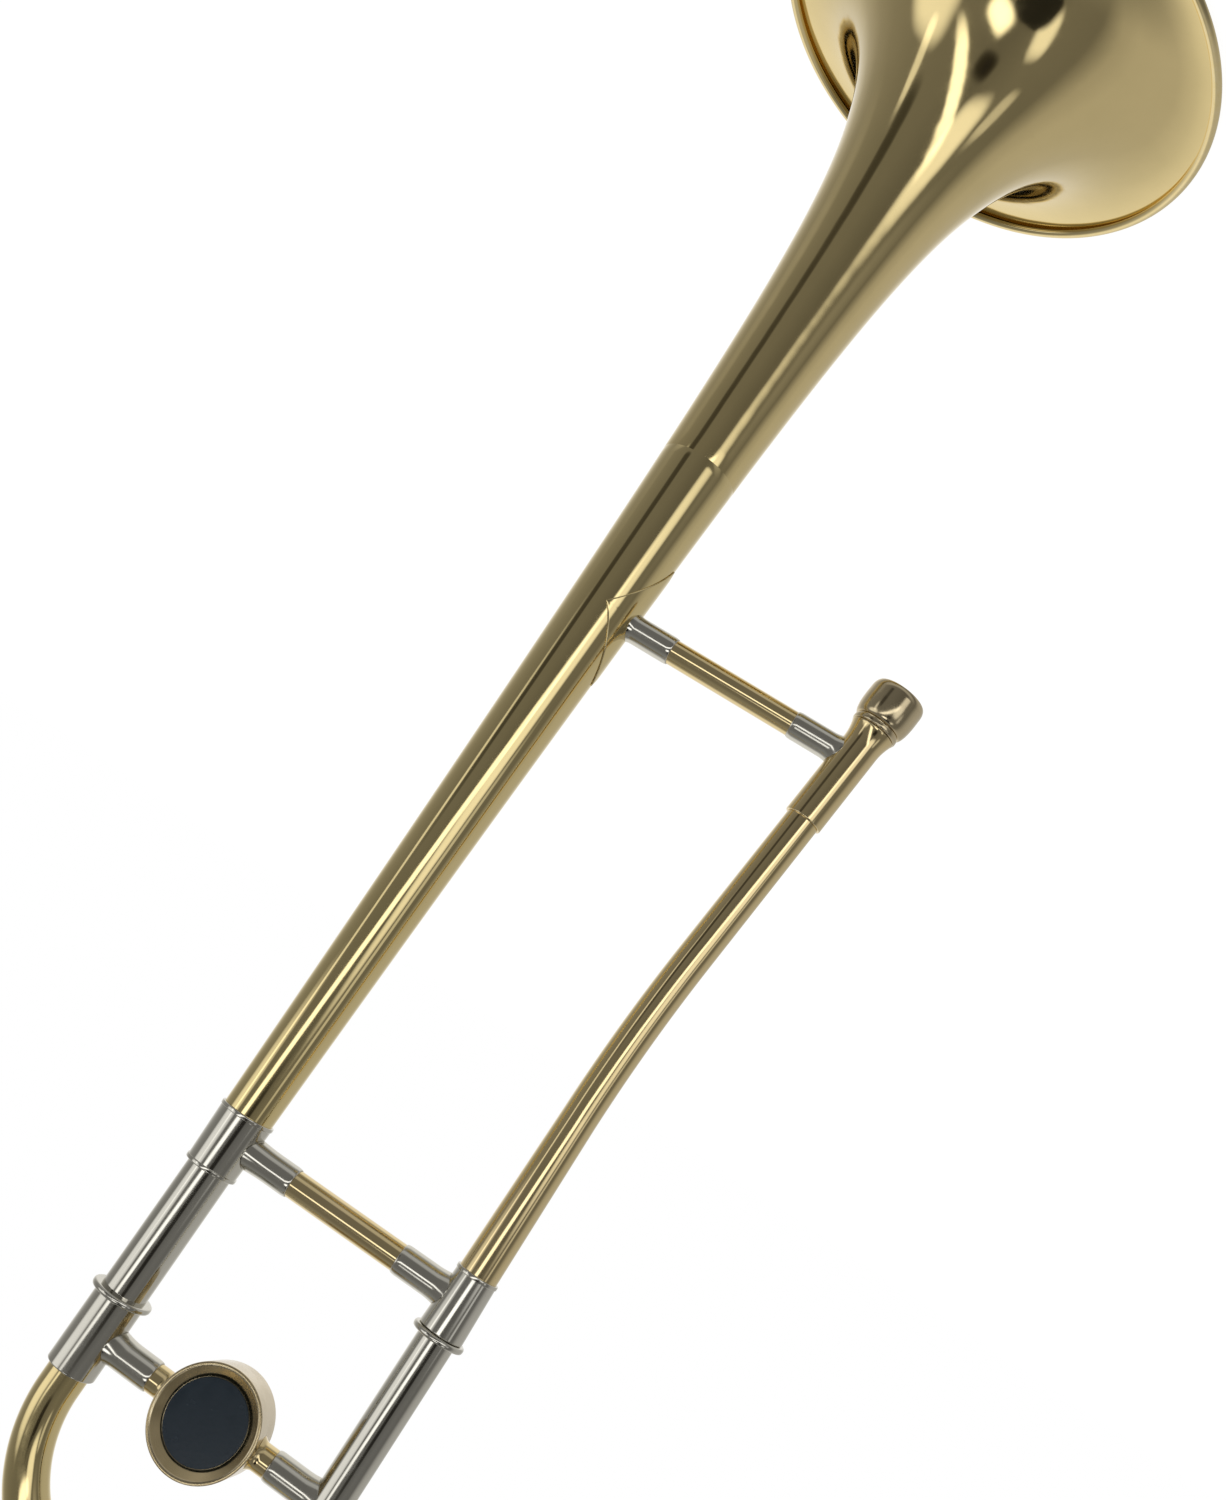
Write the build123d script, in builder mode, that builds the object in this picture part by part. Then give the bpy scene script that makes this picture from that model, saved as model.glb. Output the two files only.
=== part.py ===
from build123d import *
import math
import os

os.makedirs("parts", exist_ok=True)

# The bell section of a tenor trombone, in millimetres, standing on its bell mouth.
# +Z runs up the bell axis towards the tuning bow, +X from the bell towards the neckpipe.

# ---- fits and walls shared by many pieces
SHEET = 0.5             # wall of the bell and of every drawn tube
SOLDER_GAP = 0.03       # gap that the solder fills between two fixed pieces
SLIDE_CLEARANCE = 0.03  # radial play between an inner slide leg and its outer tube
STOP_GAP = 0.1          # play left where the pushed-in slide meets its stops

# ---- bell
BELL_DIAMETER = 203.2   # over the rim bead
BEAD_RADIUS = 2.0       # rolled rim
RIM_LAND = 1.0          # width of the flat that the bell stands on
CURL_END = 192.0        # how far round the rim is rolled, in degrees from level outside
HORN_TAIL_RADIUS = 9.42
HORN_LENGTH = 545.0
HORN_SPREAD = 8.17      # how fast the stem widens
HORN_OFFSET = 0.81      # softens the widening at the mouth
FLARE_LENGTH = 39.6     # height over which the flare dies away
SEAM_HEIGHT = 235.0     # brazed seam between flare and stem

# ---- tubes
TUBE_SPACING = 99.4
BELL_TUBE_RADIUS = 8.4
NECK_TUBE_RADIUS = 6.97
BOW_RADIUS = 7.5
BOW_LOW = 631.5         # where the bow's two ends sit
BOW_STRAIGHT = 6.5      # straight part of the bow below its half circle
LEG_REACH = 70.0        # how deep each inner leg runs inside its outer tube

# ---- ferrules and end rings
FERRULE_LOW = 530.4
FERRULE_HIGH = 553.1
BELL_FERRULE_WALL = 1.2  # over the bell-side tube
FERRULE_LEAST_WALL = 0.18  # over the bell's tail
FERRULE_LIP = 0.35
NECK_FERRULE_LOW_WALL = 0.47  # over the neckpipe
NECK_FERRULE_HIGH_WALL = 1.53  # over the neck-side tube
FERRULE_OVERLAP = 12.0  # how far a tube plugs into its ferrule
LIP_HEIGHT = 1.4
RING_HEIGHT = 2.2
BELL_RING_LOW = 602.0
RING_WALL = 2.95         # how far an end ring stands out from its tube
SLIDE_FERRULE_WALL = 0.7  # over the bell-side tube and the bow
BOW_FERRULE_LENGTH = 13.0
BOW_FERRULE_WALL = 0.5   # over the bow

# ---- neckpipe, sleeve, tenon and lock nut
NECKPIPE_LOW_RADIUS = 7.33
NECKPIPE_RADIUS = 6.65
BEND_HEIGHT = 433.1
BEND_TANGENT = 35.0
NECK_ANGLE = 5.5        # lean of the mouth end, in degrees
SLEEVE_START = 99.8    # distances along the leaning axis from the bend's corner
SLEEVE_END = 143.3
SLEEVE_WALL = 0.98
SLEEVE_FLARE_LENGTH = 8.2
SLEEVE_FLARE_RISE = 1.47
TENON_PLUG = 9.5
JOURNAL_WALL = 0.65      # over the neckpipe
NUT_BACK_WALL = 3.0
NUT_PLAY = 0.15
JOURNAL_CLEARANCE = 0.05
FLANGE_WIDTH = 1.3
FLANGE_LENGTH = 2.0
SEAT_RADIUS = 6.35
SEAT_LENGTH = 11.0
NOSE_LENGTH = 1.8
NOSE_RADIUS = 5.95
TENON_BORE = 5.55
NUT_LENGTH = 18.0
NUT_MOUTH_RADIUS = 9.6
NUT_BODY_RADIUS = 11.2
NUT_BRIM = 3.4          # length over which the nut's front edge is rounded
NUT_COLLAR_RADIUS = 9.5
NUT_GROOVE_RADIUS = 8.85

# ---- braces
BRACE_TUBE_RADIUS = 5.05
SOCKET_WALL = 0.55       # over the brace tube
SOCKET_FOOT_RISE = 0.9
SOCKET_FOOT_LENGTH = 3.5
SOCKET_LENGTH = 18.0
SHORT_SOCKET_LENGTH = 16.7  # beside the counterweight
SOCKET_PLUG = 9.0
UPPER_BRACE_HEIGHT = 303.8
LOWER_BRACE_HEIGHT = 541.0
SADDLE_SHEET = 0.5
SADDLE_HALF_HEIGHT = 28.0
SADDLE_HALF_ANGLE = 78.0
SADDLE_WAIST = 1.15     # above 1 the four sides of the diamond curve inwards

# ---- counterweight
WEIGHT_HEIGHT = 618.2
DRUM_RADIUS = 19.1
DRUM_DEPTH = 21.4
DRUM_ROUNDING = 1.2
DRUM_TURN = 6.0         # the badge faces this much towards the bell, in degrees about the brace
BADGE_MARGIN = 4.9       # from the badge's edge to the drum's side
BADGE_THICKNESS = 0.9
BADGE_GAP = 0.3
RECESS_DEPTH = 3.0
STUB_FOOT_RISE = 1.15
STUB_FOOT_LENGTH = 2.5

# ---- places worked out from the sizes above
BEAD_CENTRE_RADIUS = BELL_DIAMETER / 2 - BEAD_RADIUS
BEAD_HEIGHT = math.sqrt(BEAD_RADIUS**2 - (RIM_LAND / 2) ** 2)
BACK_HEIGHT = BEAD_HEIGHT - (BEAD_RADIUS - SHEET)
BOW_CENTRE_HEIGHT = BOW_LOW + BOW_STRAIGHT
NECK_RING_LOW = FERRULE_HIGH + STOP_GAP
SLIDE_FERRULE_LOW = BELL_RING_LOW + RING_HEIGHT + STOP_GAP
ANGLE = math.radians(NECK_ANGLE)
DRUM_FRONT = DRUM_DEPTH / 2
BELL_FERRULE_TOP_RADIUS = max(BELL_TUBE_RADIUS + BELL_FERRULE_WALL, HORN_TAIL_RADIUS + FERRULE_LEAST_WALL)
BELL_RING_RADIUS = BELL_TUBE_RADIUS + RING_WALL
NECK_RING_RADIUS = NECK_TUBE_RADIUS + RING_WALL
SLIDE_FERRULE_RADIUS = max(BELL_TUBE_RADIUS, BOW_RADIUS) + SLIDE_FERRULE_WALL
BOW_FERRULE_RADIUS = max(BOW_RADIUS, NECK_TUBE_RADIUS) + BOW_FERRULE_WALL
NECK_FERRULE_LOW_RADIUS = NECKPIPE_LOW_RADIUS + NECK_FERRULE_LOW_WALL
NECK_FERRULE_HIGH_RADIUS = NECK_TUBE_RADIUS + NECK_FERRULE_HIGH_WALL
SLEEVE_RADIUS = NECKPIPE_RADIUS + SLEEVE_WALL
SLEEVE_FLARE_RADIUS = SLEEVE_RADIUS + SLEEVE_FLARE_RISE
JOURNAL_RADIUS = NECKPIPE_RADIUS + JOURNAL_WALL
FLANGE_RADIUS = JOURNAL_RADIUS + FLANGE_WIDTH
NUT_BORE = FLANGE_RADIUS + 0.4
SOCKET_RADIUS = BRACE_TUBE_RADIUS + SOCKET_WALL
SOCKET_FOOT_RADIUS = SOCKET_RADIUS + SOCKET_FOOT_RISE
STUB_FOOT_RADIUS = BRACE_TUBE_RADIUS + STUB_FOOT_RISE
BADGE_RADIUS = DRUM_RADIUS - BADGE_MARGIN

MOUTH_DIRECTION = Vector(math.sin(ANGLE), 0, -math.cos(ANGLE))
BEND_CORNER = Vector(TUBE_SPACING, 0, BEND_HEIGHT)

# Turning planes: local X is the radius and local Y runs along the axis.
NECK_PLANE = Plane(origin=(TUBE_SPACING, 0, 0), x_dir=(1, 0, 0), z_dir=(0, -1, 0))
NECK_AXIS = Axis((TUBE_SPACING, 0, 0), (0, 0, 1))
MOUTH_PLANE = Plane(origin=BEND_CORNER, x_dir=(math.cos(ANGLE), 0, math.sin(ANGLE)), z_dir=(0, 1, 0))
MOUTH_AXIS = Axis(BEND_CORNER, MOUTH_DIRECTION)


def finish(piece, label):
    """Label a finished piece and write it to its own file."""
    piece.part.label = label
    export_step(piece.part, f"parts/{label}.step")


def horn_radius(height):
    """Outside radius of the bell: a logarithmic stem plus a flare that dies away exponentially."""
    depth = max(height - BACK_HEIGHT, 0)
    stem = HORN_SPREAD * math.log((HORN_LENGTH + HORN_OFFSET) / (depth + HORN_OFFSET))
    mouth_stem = HORN_SPREAD * math.log((HORN_LENGTH + HORN_OFFSET) / HORN_OFFSET)
    flare = BEAD_CENTRE_RADIUS - HORN_TAIL_RADIUS - mouth_stem
    return HORN_TAIL_RADIUS + stem + flare * math.exp(-depth / FLARE_LENGTH)


def horn_inside(height):
    """The point of the inner wall one sheet thickness in from the outer wall at this height."""
    step = 0.001
    slope = (horn_radius(height + step) - horn_radius(height)) / step
    length = math.hypot(1, slope)
    return (horn_radius(height) - SHEET / length, height + SHEET * slope / length)


# ---- the bell: spun flare with its rolled rim, wire, and hammered stem
FLARE_STATIONS = 14
flare_heights = [
    BACK_HEIGHT + (SEAM_HEIGHT - BACK_HEIGHT) * (k / FLARE_STATIONS) ** 3 for k in range(FLARE_STATIONS + 1)
]
flare_outside = [(horn_radius(h), h) for h in flare_heights]
flare_inside = [horn_inside(h) for h in flare_heights[2:-1]]
seam_outer = (horn_radius(SEAM_HEIGHT), SEAM_HEIGHT)
seam_inner = (horn_radius(SEAM_HEIGHT) - SHEET, SEAM_HEIGHT)
land_inner = (BEAD_CENTRE_RADIUS - RIM_LAND / 2, 0)
land_outer = (BEAD_CENTRE_RADIUS + RIM_LAND / 2, 0)
bead_centre = (BEAD_CENTRE_RADIUS, BEAD_HEIGHT)
land_angle = -math.degrees(math.acos(RIM_LAND / 2 / BEAD_RADIUS))

with BuildPart() as bell_flare:
    with BuildSketch(Plane.XZ):
        with BuildLine():
            Spline(*flare_outside)
            Line(seam_outer, seam_inner)
            Spline(seam_inner, *reversed(flare_inside), land_inner)
            Line(land_inner, land_outer)
            bead_outside = CenterArc(bead_centre, BEAD_RADIUS, land_angle, CURL_END - land_angle)
            bead_inside = CenterArc(bead_centre, BEAD_RADIUS - SHEET, -90, CURL_END + 90)
            Line(bead_outside @ 1, bead_inside @ 1)
        make_face()
    revolve(axis=Axis.Z)
finish(bell_flare, "bell_flare")

with BuildPart() as rim_wire:
    with BuildSketch(Plane.XZ):
        with Locations(bead_centre):
            Circle(BEAD_RADIUS - SHEET - SOLDER_GAP)
    revolve(axis=Axis.Z)
finish(rim_wire, "rim_wire")

STEM_STATIONS = 8
stem_step = (HORN_LENGTH - SEAM_HEIGHT) / STEM_STATIONS
stem_heights = [SEAM_HEIGHT + stem_step * k for k in range(STEM_STATIONS + 1)]
stem_outside = [(horn_radius(h), h) for h in stem_heights]
stem_inside = [(horn_radius(h) - SHEET, h) for h in stem_heights]

with BuildPart() as bell_stem:
    with BuildSketch(Plane.XZ):
        with BuildLine():
            Spline(*stem_outside)
            Line(stem_outside[-1], stem_inside[-1])
            Spline(*stem_inside)
            Line(stem_inside[0], stem_outside[0])
        make_face()
    revolve(axis=Axis.Z)
finish(bell_stem, "bell_stem")

# ---- bell ferrule, a sleeve with a lip at each end, which joins the bell's tail to the outer tube
tail_bore = horn_radius(FERRULE_LOW) + SOLDER_GAP
ferrule_waist = tail_bore + SHEET

with BuildPart() as bell_ferrule:
    with BuildSketch(Plane.XZ):
        with BuildLine():
            Polyline(
                (tail_bore, FERRULE_LOW),
                (ferrule_waist + FERRULE_LIP, FERRULE_LOW),
                (ferrule_waist + FERRULE_LIP, FERRULE_LOW + LIP_HEIGHT),
                (ferrule_waist, FERRULE_LOW + LIP_HEIGHT),
                (BELL_FERRULE_TOP_RADIUS, FERRULE_HIGH - LIP_HEIGHT),
                (BELL_FERRULE_TOP_RADIUS + FERRULE_LIP, FERRULE_HIGH - LIP_HEIGHT),
                (BELL_FERRULE_TOP_RADIUS + FERRULE_LIP, FERRULE_HIGH),
                (BELL_TUBE_RADIUS, FERRULE_HIGH),
                (BELL_TUBE_RADIUS, HORN_LENGTH + SHEET),
                (tail_bore, HORN_LENGTH + SHEET),
                close=True,
            )
        make_face()
    revolve(axis=Axis.Z)
finish(bell_ferrule, "bell_ferrule")


def drawn_tube(plane, radius, length):
    """A straight drawn tube that starts at the plane, round the plane's own origin."""
    with BuildPart() as tube:
        with BuildSketch(plane):
            Circle(radius)
            Circle(radius - SHEET, mode=Mode.SUBTRACT)
        extrude(amount=length)
    return tube


def end_ring(plane, inner, outer):
    """The rounded ring that stiffens the open end of an outer slide tube."""
    with BuildPart() as ring:
        with BuildSketch(plane):
            Circle(outer)
            Circle(inner, mode=Mode.SUBTRACT)
        extrude(amount=RING_HEIGHT)
        outside = ring.edges().filter_by(GeomType.CIRCLE).group_by(SortBy.RADIUS)[-1]
        fillet(outside, RING_HEIGHT * 0.42)
    return ring


def upright(x, height):
    """A plane level with the mouth, centred on a tube at this distance from the bell axis."""
    return Plane(origin=(x, 0, height), x_dir=(1, 0, 0), z_dir=(0, 0, 1))


# ---- bell side of the tuning slide: fixed outer tube and its end ring, then the moving leg
outer_tube_low = BELL_RING_LOW - LEG_REACH
bell_side_outer_tube = drawn_tube(upright(0, outer_tube_low), BELL_TUBE_RADIUS, LEG_REACH + RING_HEIGHT)
finish(bell_side_outer_tube, "bell_side_outer_tube")

bell_side_end_ring = end_ring(upright(0, BELL_RING_LOW), BELL_TUBE_RADIUS, BELL_RING_RADIUS)
finish(bell_side_end_ring, "bell_side_end_ring")

BELL_LEG_RADIUS = BELL_TUBE_RADIUS - SHEET - SLIDE_CLEARANCE
leg_top = BOW_LOW - FERRULE_OVERLAP
bell_side_inner_leg = drawn_tube(
    upright(0, BELL_RING_LOW - LEG_REACH + SHEET), BELL_LEG_RADIUS, leg_top - outer_tube_low - SHEET
)
finish(bell_side_inner_leg, "bell_side_inner_leg")

with BuildPart() as bell_side_slide_ferrule:
    with BuildSketch(upright(0, SLIDE_FERRULE_LOW)):
        Circle(SLIDE_FERRULE_RADIUS)
        Circle(BELL_LEG_RADIUS, mode=Mode.SUBTRACT)
    extrude(amount=leg_top - SLIDE_FERRULE_LOW)
    with BuildSketch(upright(0, leg_top)):
        Circle(SLIDE_FERRULE_RADIUS)
        Circle(BOW_RADIUS, mode=Mode.SUBTRACT)
    extrude(amount=BOW_LOW - leg_top)
    ferrule_rims = bell_side_slide_ferrule.edges().filter_by(GeomType.CIRCLE).group_by(SortBy.RADIUS)[-1]
    fillet(ferrule_rims, SHEET / 2)
finish(bell_side_slide_ferrule, "bell_side_slide_ferrule")

# ---- tuning bow: two short straights and a half circle of tube; its ends plug into the ferrules
bow_end = leg_top + SOLDER_GAP

with BuildPart() as tuning_bow:
    for foot in (upright(0, bow_end), upright(TUBE_SPACING, BOW_LOW + SOLDER_GAP)):
        with BuildSketch(foot):
            Circle(BOW_RADIUS)
            Circle(BOW_RADIUS - SHEET, mode=Mode.SUBTRACT)
        extrude(amount=BOW_CENTRE_HEIGHT - foot.origin.Z)
    with BuildSketch(Plane.XY.offset(BOW_CENTRE_HEIGHT)):
        Circle(BOW_RADIUS)
        Circle(BOW_RADIUS - SHEET, mode=Mode.SUBTRACT)
    revolve(axis=Axis((TUBE_SPACING / 2, 0, BOW_CENTRE_HEIGHT), (0, 1, 0)), revolution_arc=180)
finish(tuning_bow, "tuning_bow")

# ---- neck side of the tuning slide: the outer tube moves over a leg fixed in the neck ferrule
NECK_LEG_RADIUS = NECK_TUBE_RADIUS - SHEET - SLIDE_CLEARANCE
neck_side_outer_tube = drawn_tube(
    upright(TUBE_SPACING, NECK_RING_LOW), NECK_TUBE_RADIUS, BOW_LOW - NECK_RING_LOW
)
finish(neck_side_outer_tube, "neck_side_outer_tube")

neck_side_end_ring = end_ring(upright(TUBE_SPACING, NECK_RING_LOW), NECK_TUBE_RADIUS, NECK_RING_RADIUS)
finish(neck_side_end_ring, "neck_side_end_ring")

with BuildPart() as neck_side_bow_ferrule:
    with BuildSketch(upright(TUBE_SPACING, BOW_LOW - BOW_FERRULE_LENGTH / 2)):
        Circle(BOW_FERRULE_RADIUS)
        Circle(NECK_TUBE_RADIUS, mode=Mode.SUBTRACT)
    extrude(amount=BOW_FERRULE_LENGTH / 2)
    with BuildSketch(upright(TUBE_SPACING, BOW_LOW)):
        Circle(BOW_FERRULE_RADIUS)
        Circle(BOW_RADIUS, mode=Mode.SUBTRACT)
    extrude(amount=BOW_FERRULE_LENGTH / 2)
    bow_ferrule_rims = neck_side_bow_ferrule.edges().filter_by(GeomType.CIRCLE).group_by(SortBy.RADIUS)[-1]
    fillet(bow_ferrule_rims, SHEET / 2)
finish(neck_side_bow_ferrule, "neck_side_bow_ferrule")

leg_low = HORN_LENGTH + SHEET
neck_side_inner_leg = drawn_tube(
    upright(TUBE_SPACING, leg_low), NECK_LEG_RADIUS, NECK_RING_LOW + LEG_REACH - leg_low
)
finish(neck_side_inner_leg, "neck_side_inner_leg")

with BuildPart() as neck_ferrule:
    with BuildSketch(NECK_PLANE):
        with BuildLine():
            Polyline(
                (NECKPIPE_LOW_RADIUS, FERRULE_LOW),
                (NECK_FERRULE_LOW_RADIUS + FERRULE_LIP, FERRULE_LOW),
                (NECK_FERRULE_LOW_RADIUS + FERRULE_LIP, FERRULE_LOW + LIP_HEIGHT),
                (NECK_FERRULE_LOW_RADIUS, FERRULE_LOW + LIP_HEIGHT),
                (NECK_FERRULE_HIGH_RADIUS, FERRULE_HIGH),
                (NECK_LEG_RADIUS, FERRULE_HIGH),
                (NECK_LEG_RADIUS, leg_low),
                (NECKPIPE_LOW_RADIUS, leg_low),
                close=True,
            )
        make_face()
    revolve(axis=NECK_AXIS)
finish(neck_ferrule, "neck_ferrule")

# ---- neckpipe: a tapered tube with a slow bend, from the neck ferrule to the tenon sleeve
bend_radius = BEND_TANGENT / math.tan(ANGLE / 2)
bend_top = BEND_HEIGHT + BEND_TANGENT
pipe_end = SLEEVE_END - TENON_PLUG

with BuildPart() as neckpipe:
    with BuildSketch(NECK_PLANE):
        with BuildLine():
            Polyline(
                (NECKPIPE_RADIUS, bend_top),
                (NECKPIPE_LOW_RADIUS, FERRULE_LOW),
                (NECKPIPE_LOW_RADIUS, HORN_LENGTH),
                (NECKPIPE_LOW_RADIUS - SHEET, HORN_LENGTH),
                (NECKPIPE_LOW_RADIUS - SHEET, FERRULE_LOW),
                (NECKPIPE_RADIUS - SHEET, bend_top),
                close=True,
            )
        make_face()
    revolve(axis=NECK_AXIS)
    with BuildSketch(upright(TUBE_SPACING, bend_top)):
        Circle(NECKPIPE_RADIUS)
        Circle(NECKPIPE_RADIUS - SHEET, mode=Mode.SUBTRACT)
    revolve(axis=Axis((TUBE_SPACING + bend_radius, 0, bend_top), (0, -1, 0)), revolution_arc=NECK_ANGLE)
    with BuildSketch(MOUTH_PLANE):
        with Locations((NECKPIPE_RADIUS - SHEET / 2, (BEND_TANGENT + pipe_end) / 2)):
            Rectangle(SHEET, pipe_end - BEND_TANGENT)
    revolve(axis=MOUTH_AXIS)
finish(neckpipe, "neckpipe")

# ---- tenon sleeve: a thick tube that flares into a collar behind the lock nut
flare_start = SLEEVE_END - SLEEVE_FLARE_LENGTH
flare_rise = SLEEVE_FLARE_RADIUS - SLEEVE_RADIUS

with BuildPart() as tenon_sleeve:
    with BuildSketch(MOUTH_PLANE):
        with BuildLine():
            Polyline(
                (SLEEVE_FLARE_RADIUS, SLEEVE_END),
                (NECKPIPE_RADIUS, SLEEVE_END),
                (NECKPIPE_RADIUS, SLEEVE_START),
                (SLEEVE_RADIUS, SLEEVE_START),
                (SLEEVE_RADIUS, flare_start),
            )
            TangentArc((SLEEVE_RADIUS, flare_start), (SLEEVE_FLARE_RADIUS, SLEEVE_END), tangent=(0, 1))
        make_face()
    revolve(axis=MOUTH_AXIS)
finish(tenon_sleeve, "tenon_sleeve")

# ---- slide tenon: plug, journal for the nut, flange that holds the nut, seat and nose
journal_end = SLEEVE_END + NUT_BACK_WALL + 2 * NUT_PLAY
seat_start = journal_end + FLANGE_LENGTH
seat_end = seat_start + SEAT_LENGTH

with BuildPart() as slide_tenon:
    with BuildSketch(MOUTH_PLANE):
        with BuildLine():
            Polyline(
                (TENON_BORE, pipe_end),
                (NECKPIPE_RADIUS, pipe_end),
                (NECKPIPE_RADIUS, SLEEVE_END),
                (JOURNAL_RADIUS, SLEEVE_END),
                (JOURNAL_RADIUS, journal_end),
                (FLANGE_RADIUS, journal_end),
                (FLANGE_RADIUS, seat_start),
                (SEAT_RADIUS, seat_start),
                (SEAT_RADIUS, seat_end),
                (NOSE_RADIUS, seat_end + NOSE_LENGTH),
                (TENON_BORE, seat_end + NOSE_LENGTH),
                close=True,
            )
        make_face()
    revolve(axis=MOUTH_AXIS)
finish(slide_tenon, "slide_tenon")

# ---- lock nut: turned barrel with a collar and a groove, free to spin on the tenon's journal
nut_start = SLEEVE_END + NUT_PLAY
nut_inside = nut_start + NUT_BACK_WALL
nut_end = nut_start + NUT_LENGTH
collar_end = nut_start + 1.9
body_start = collar_end + 0.8
body_widest = nut_start + 0.62 * NUT_LENGTH
brim_start = nut_end - NUT_BRIM

with BuildPart() as lock_nut:
    with BuildSketch(MOUTH_PLANE):
        with BuildLine():
            Polyline(
                (NUT_GROOVE_RADIUS, body_start),
                (NUT_GROOVE_RADIUS, collar_end),
                (NUT_COLLAR_RADIUS, collar_end),
                (NUT_COLLAR_RADIUS, nut_start),
                (JOURNAL_RADIUS + JOURNAL_CLEARANCE, nut_start),
                (JOURNAL_RADIUS + JOURNAL_CLEARANCE, nut_inside),
                (NUT_BORE, nut_inside),
                (NUT_BORE, nut_end),
                (NUT_MOUTH_RADIUS, nut_end),
            )
            TangentArc((NUT_BODY_RADIUS, brim_start), (NUT_MOUTH_RADIUS, nut_end), tangent=(0, 1))
            Line((NUT_BODY_RADIUS, brim_start), (NUT_BODY_RADIUS, body_widest))
            TangentArc((NUT_BODY_RADIUS, body_widest), (NUT_GROOVE_RADIUS, body_start), tangent=(0, -1))
        make_face()
    revolve(axis=MOUTH_AXIS)
finish(lock_nut, "lock_nut")

# ---- bell brace saddle: a thin diamond of sheet wrapped halfway round the stem
SADDLE_STEPS = 6
saddle_low = UPPER_BRACE_HEIGHT - SADDLE_HALF_HEIGHT
saddle_high = UPPER_BRACE_HEIGHT + SADDLE_HALF_HEIGHT


def saddle_edge(share):
    """A point on one side of the diamond, from its tip (0) to its corner (1), seen along +X."""
    turn = math.radians(SADDLE_HALF_ANGLE) * share
    outside = horn_radius(UPPER_BRACE_HEIGHT) + SOLDER_GAP + SADDLE_SHEET
    return (outside * math.sin(turn), SADDLE_HALF_HEIGHT * (1 - share) ** SADDLE_WAIST)


saddle_side = [saddle_edge(k / SADDLE_STEPS) for k in range(SADDLE_STEPS + 1)]
band_heights = [saddle_low + 2 * SADDLE_HALF_HEIGHT * k / 4 for k in range(5)]
band_inside = [(horn_radius(h) + SOLDER_GAP, h) for h in band_heights]
band_outside = [(horn_radius(h) + SOLDER_GAP + SADDLE_SHEET, h) for h in band_heights]

with BuildPart() as bell_brace_saddle:
    with BuildSketch(Plane.XZ):
        with BuildLine():
            Spline(*band_inside)
            Line(band_inside[-1], band_outside[-1])
            Spline(*band_outside)
            Line(band_outside[0], band_inside[0])
        make_face()
    revolve(axis=Axis.Z)
    with BuildSketch(Plane(origin=(0, 0, UPPER_BRACE_HEIGHT), x_dir=(0, 1, 0), z_dir=(1, 0, 0))):
        with BuildLine():
            Polyline(*saddle_side)
            mirror(about=Plane.YZ)
            mirror(about=Plane.XZ)
        make_face()
    extrude(amount=2 * horn_radius(saddle_low), mode=Mode.INTERSECT)
finish(bell_brace_saddle, "bell_brace_saddle")

# ---- braces: sockets with coped, flared feet; tubes plugged into them
def turned_core(plane, axis, edge):
    """A solid inside an (radius, height) edge, the solder gap larger, that coped feet are cut by."""
    with BuildPart() as core:
        with BuildSketch(plane):
            with BuildLine():
                Polyline(
                    (0, edge[0][1]),
                    *[(radius + SOLDER_GAP, height) for radius, height in edge],
                    (0, edge[-1][1]),
                    close=True,
                )
            make_face()
        revolve(axis=axis)
    return core.part


def coped_bar(plane, foot, tip, foot_radius, foot_length, radius, core):
    """A turned bar along the plane's X axis, from its coped, flared foot to its tip."""
    way = math.copysign(1, tip - foot)
    with BuildPart() as bar:
        with BuildSketch(plane):
            with BuildLine():
                Polyline(
                    (tip, radius), (tip, 0), (foot - way * foot_radius, 0),
                    (foot - way * foot_radius, foot_radius), (foot, foot_radius),
                )
                TangentArc((foot + way * foot_length, radius), (foot, foot_radius), tangent=(-way, 0))
                Line((foot + way * foot_length, radius), (tip, radius))
            make_face()
        revolve(axis=Axis(plane.origin, plane.x_dir))
        add(core, mode=Mode.SUBTRACT)
    return bar


def brace_socket(plane, foot, lip, core):
    """A coped bar whose open end is bored for the brace tube."""
    way = math.copysign(1, lip - foot)
    blank = coped_bar(plane, foot, lip, SOCKET_FOOT_RADIUS, SOCKET_FOOT_LENGTH, SOCKET_RADIUS, core)
    with BuildPart() as socket:
        add(blank.part)
        with BuildSketch(plane):
            with Locations((lip - way * SOCKET_PLUG / 2, BRACE_TUBE_RADIUS / 2)):
                Rectangle(SOCKET_PLUG, BRACE_TUBE_RADIUS)
        revolve(axis=Axis(plane.origin, plane.x_dir), mode=Mode.SUBTRACT)
    return socket


def brace_tube(plane, left_lip, right_lip):
    """The tube between two sockets, plugged into both."""
    start = left_lip - SOCKET_PLUG + SOLDER_GAP
    length = right_lip - left_lip + 2 * (SOCKET_PLUG - SOLDER_GAP)
    with BuildPart() as tube:
        with BuildSketch(Plane(origin=plane.from_local_coords((start, 0, 0)), z_dir=plane.x_dir)):
            Circle(BRACE_TUBE_RADIUS)
            Circle(BRACE_TUBE_RADIUS - 2 * SHEET, mode=Mode.SUBTRACT)
        extrude(amount=length)
    return tube


def brace_plane(height):
    """A plane whose X axis is a brace's axis, which crosses the bell axis at this height."""
    return Plane(origin=(0, 0, height), x_dir=(1, 0, 0), z_dir=(0, -1, 0))


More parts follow.
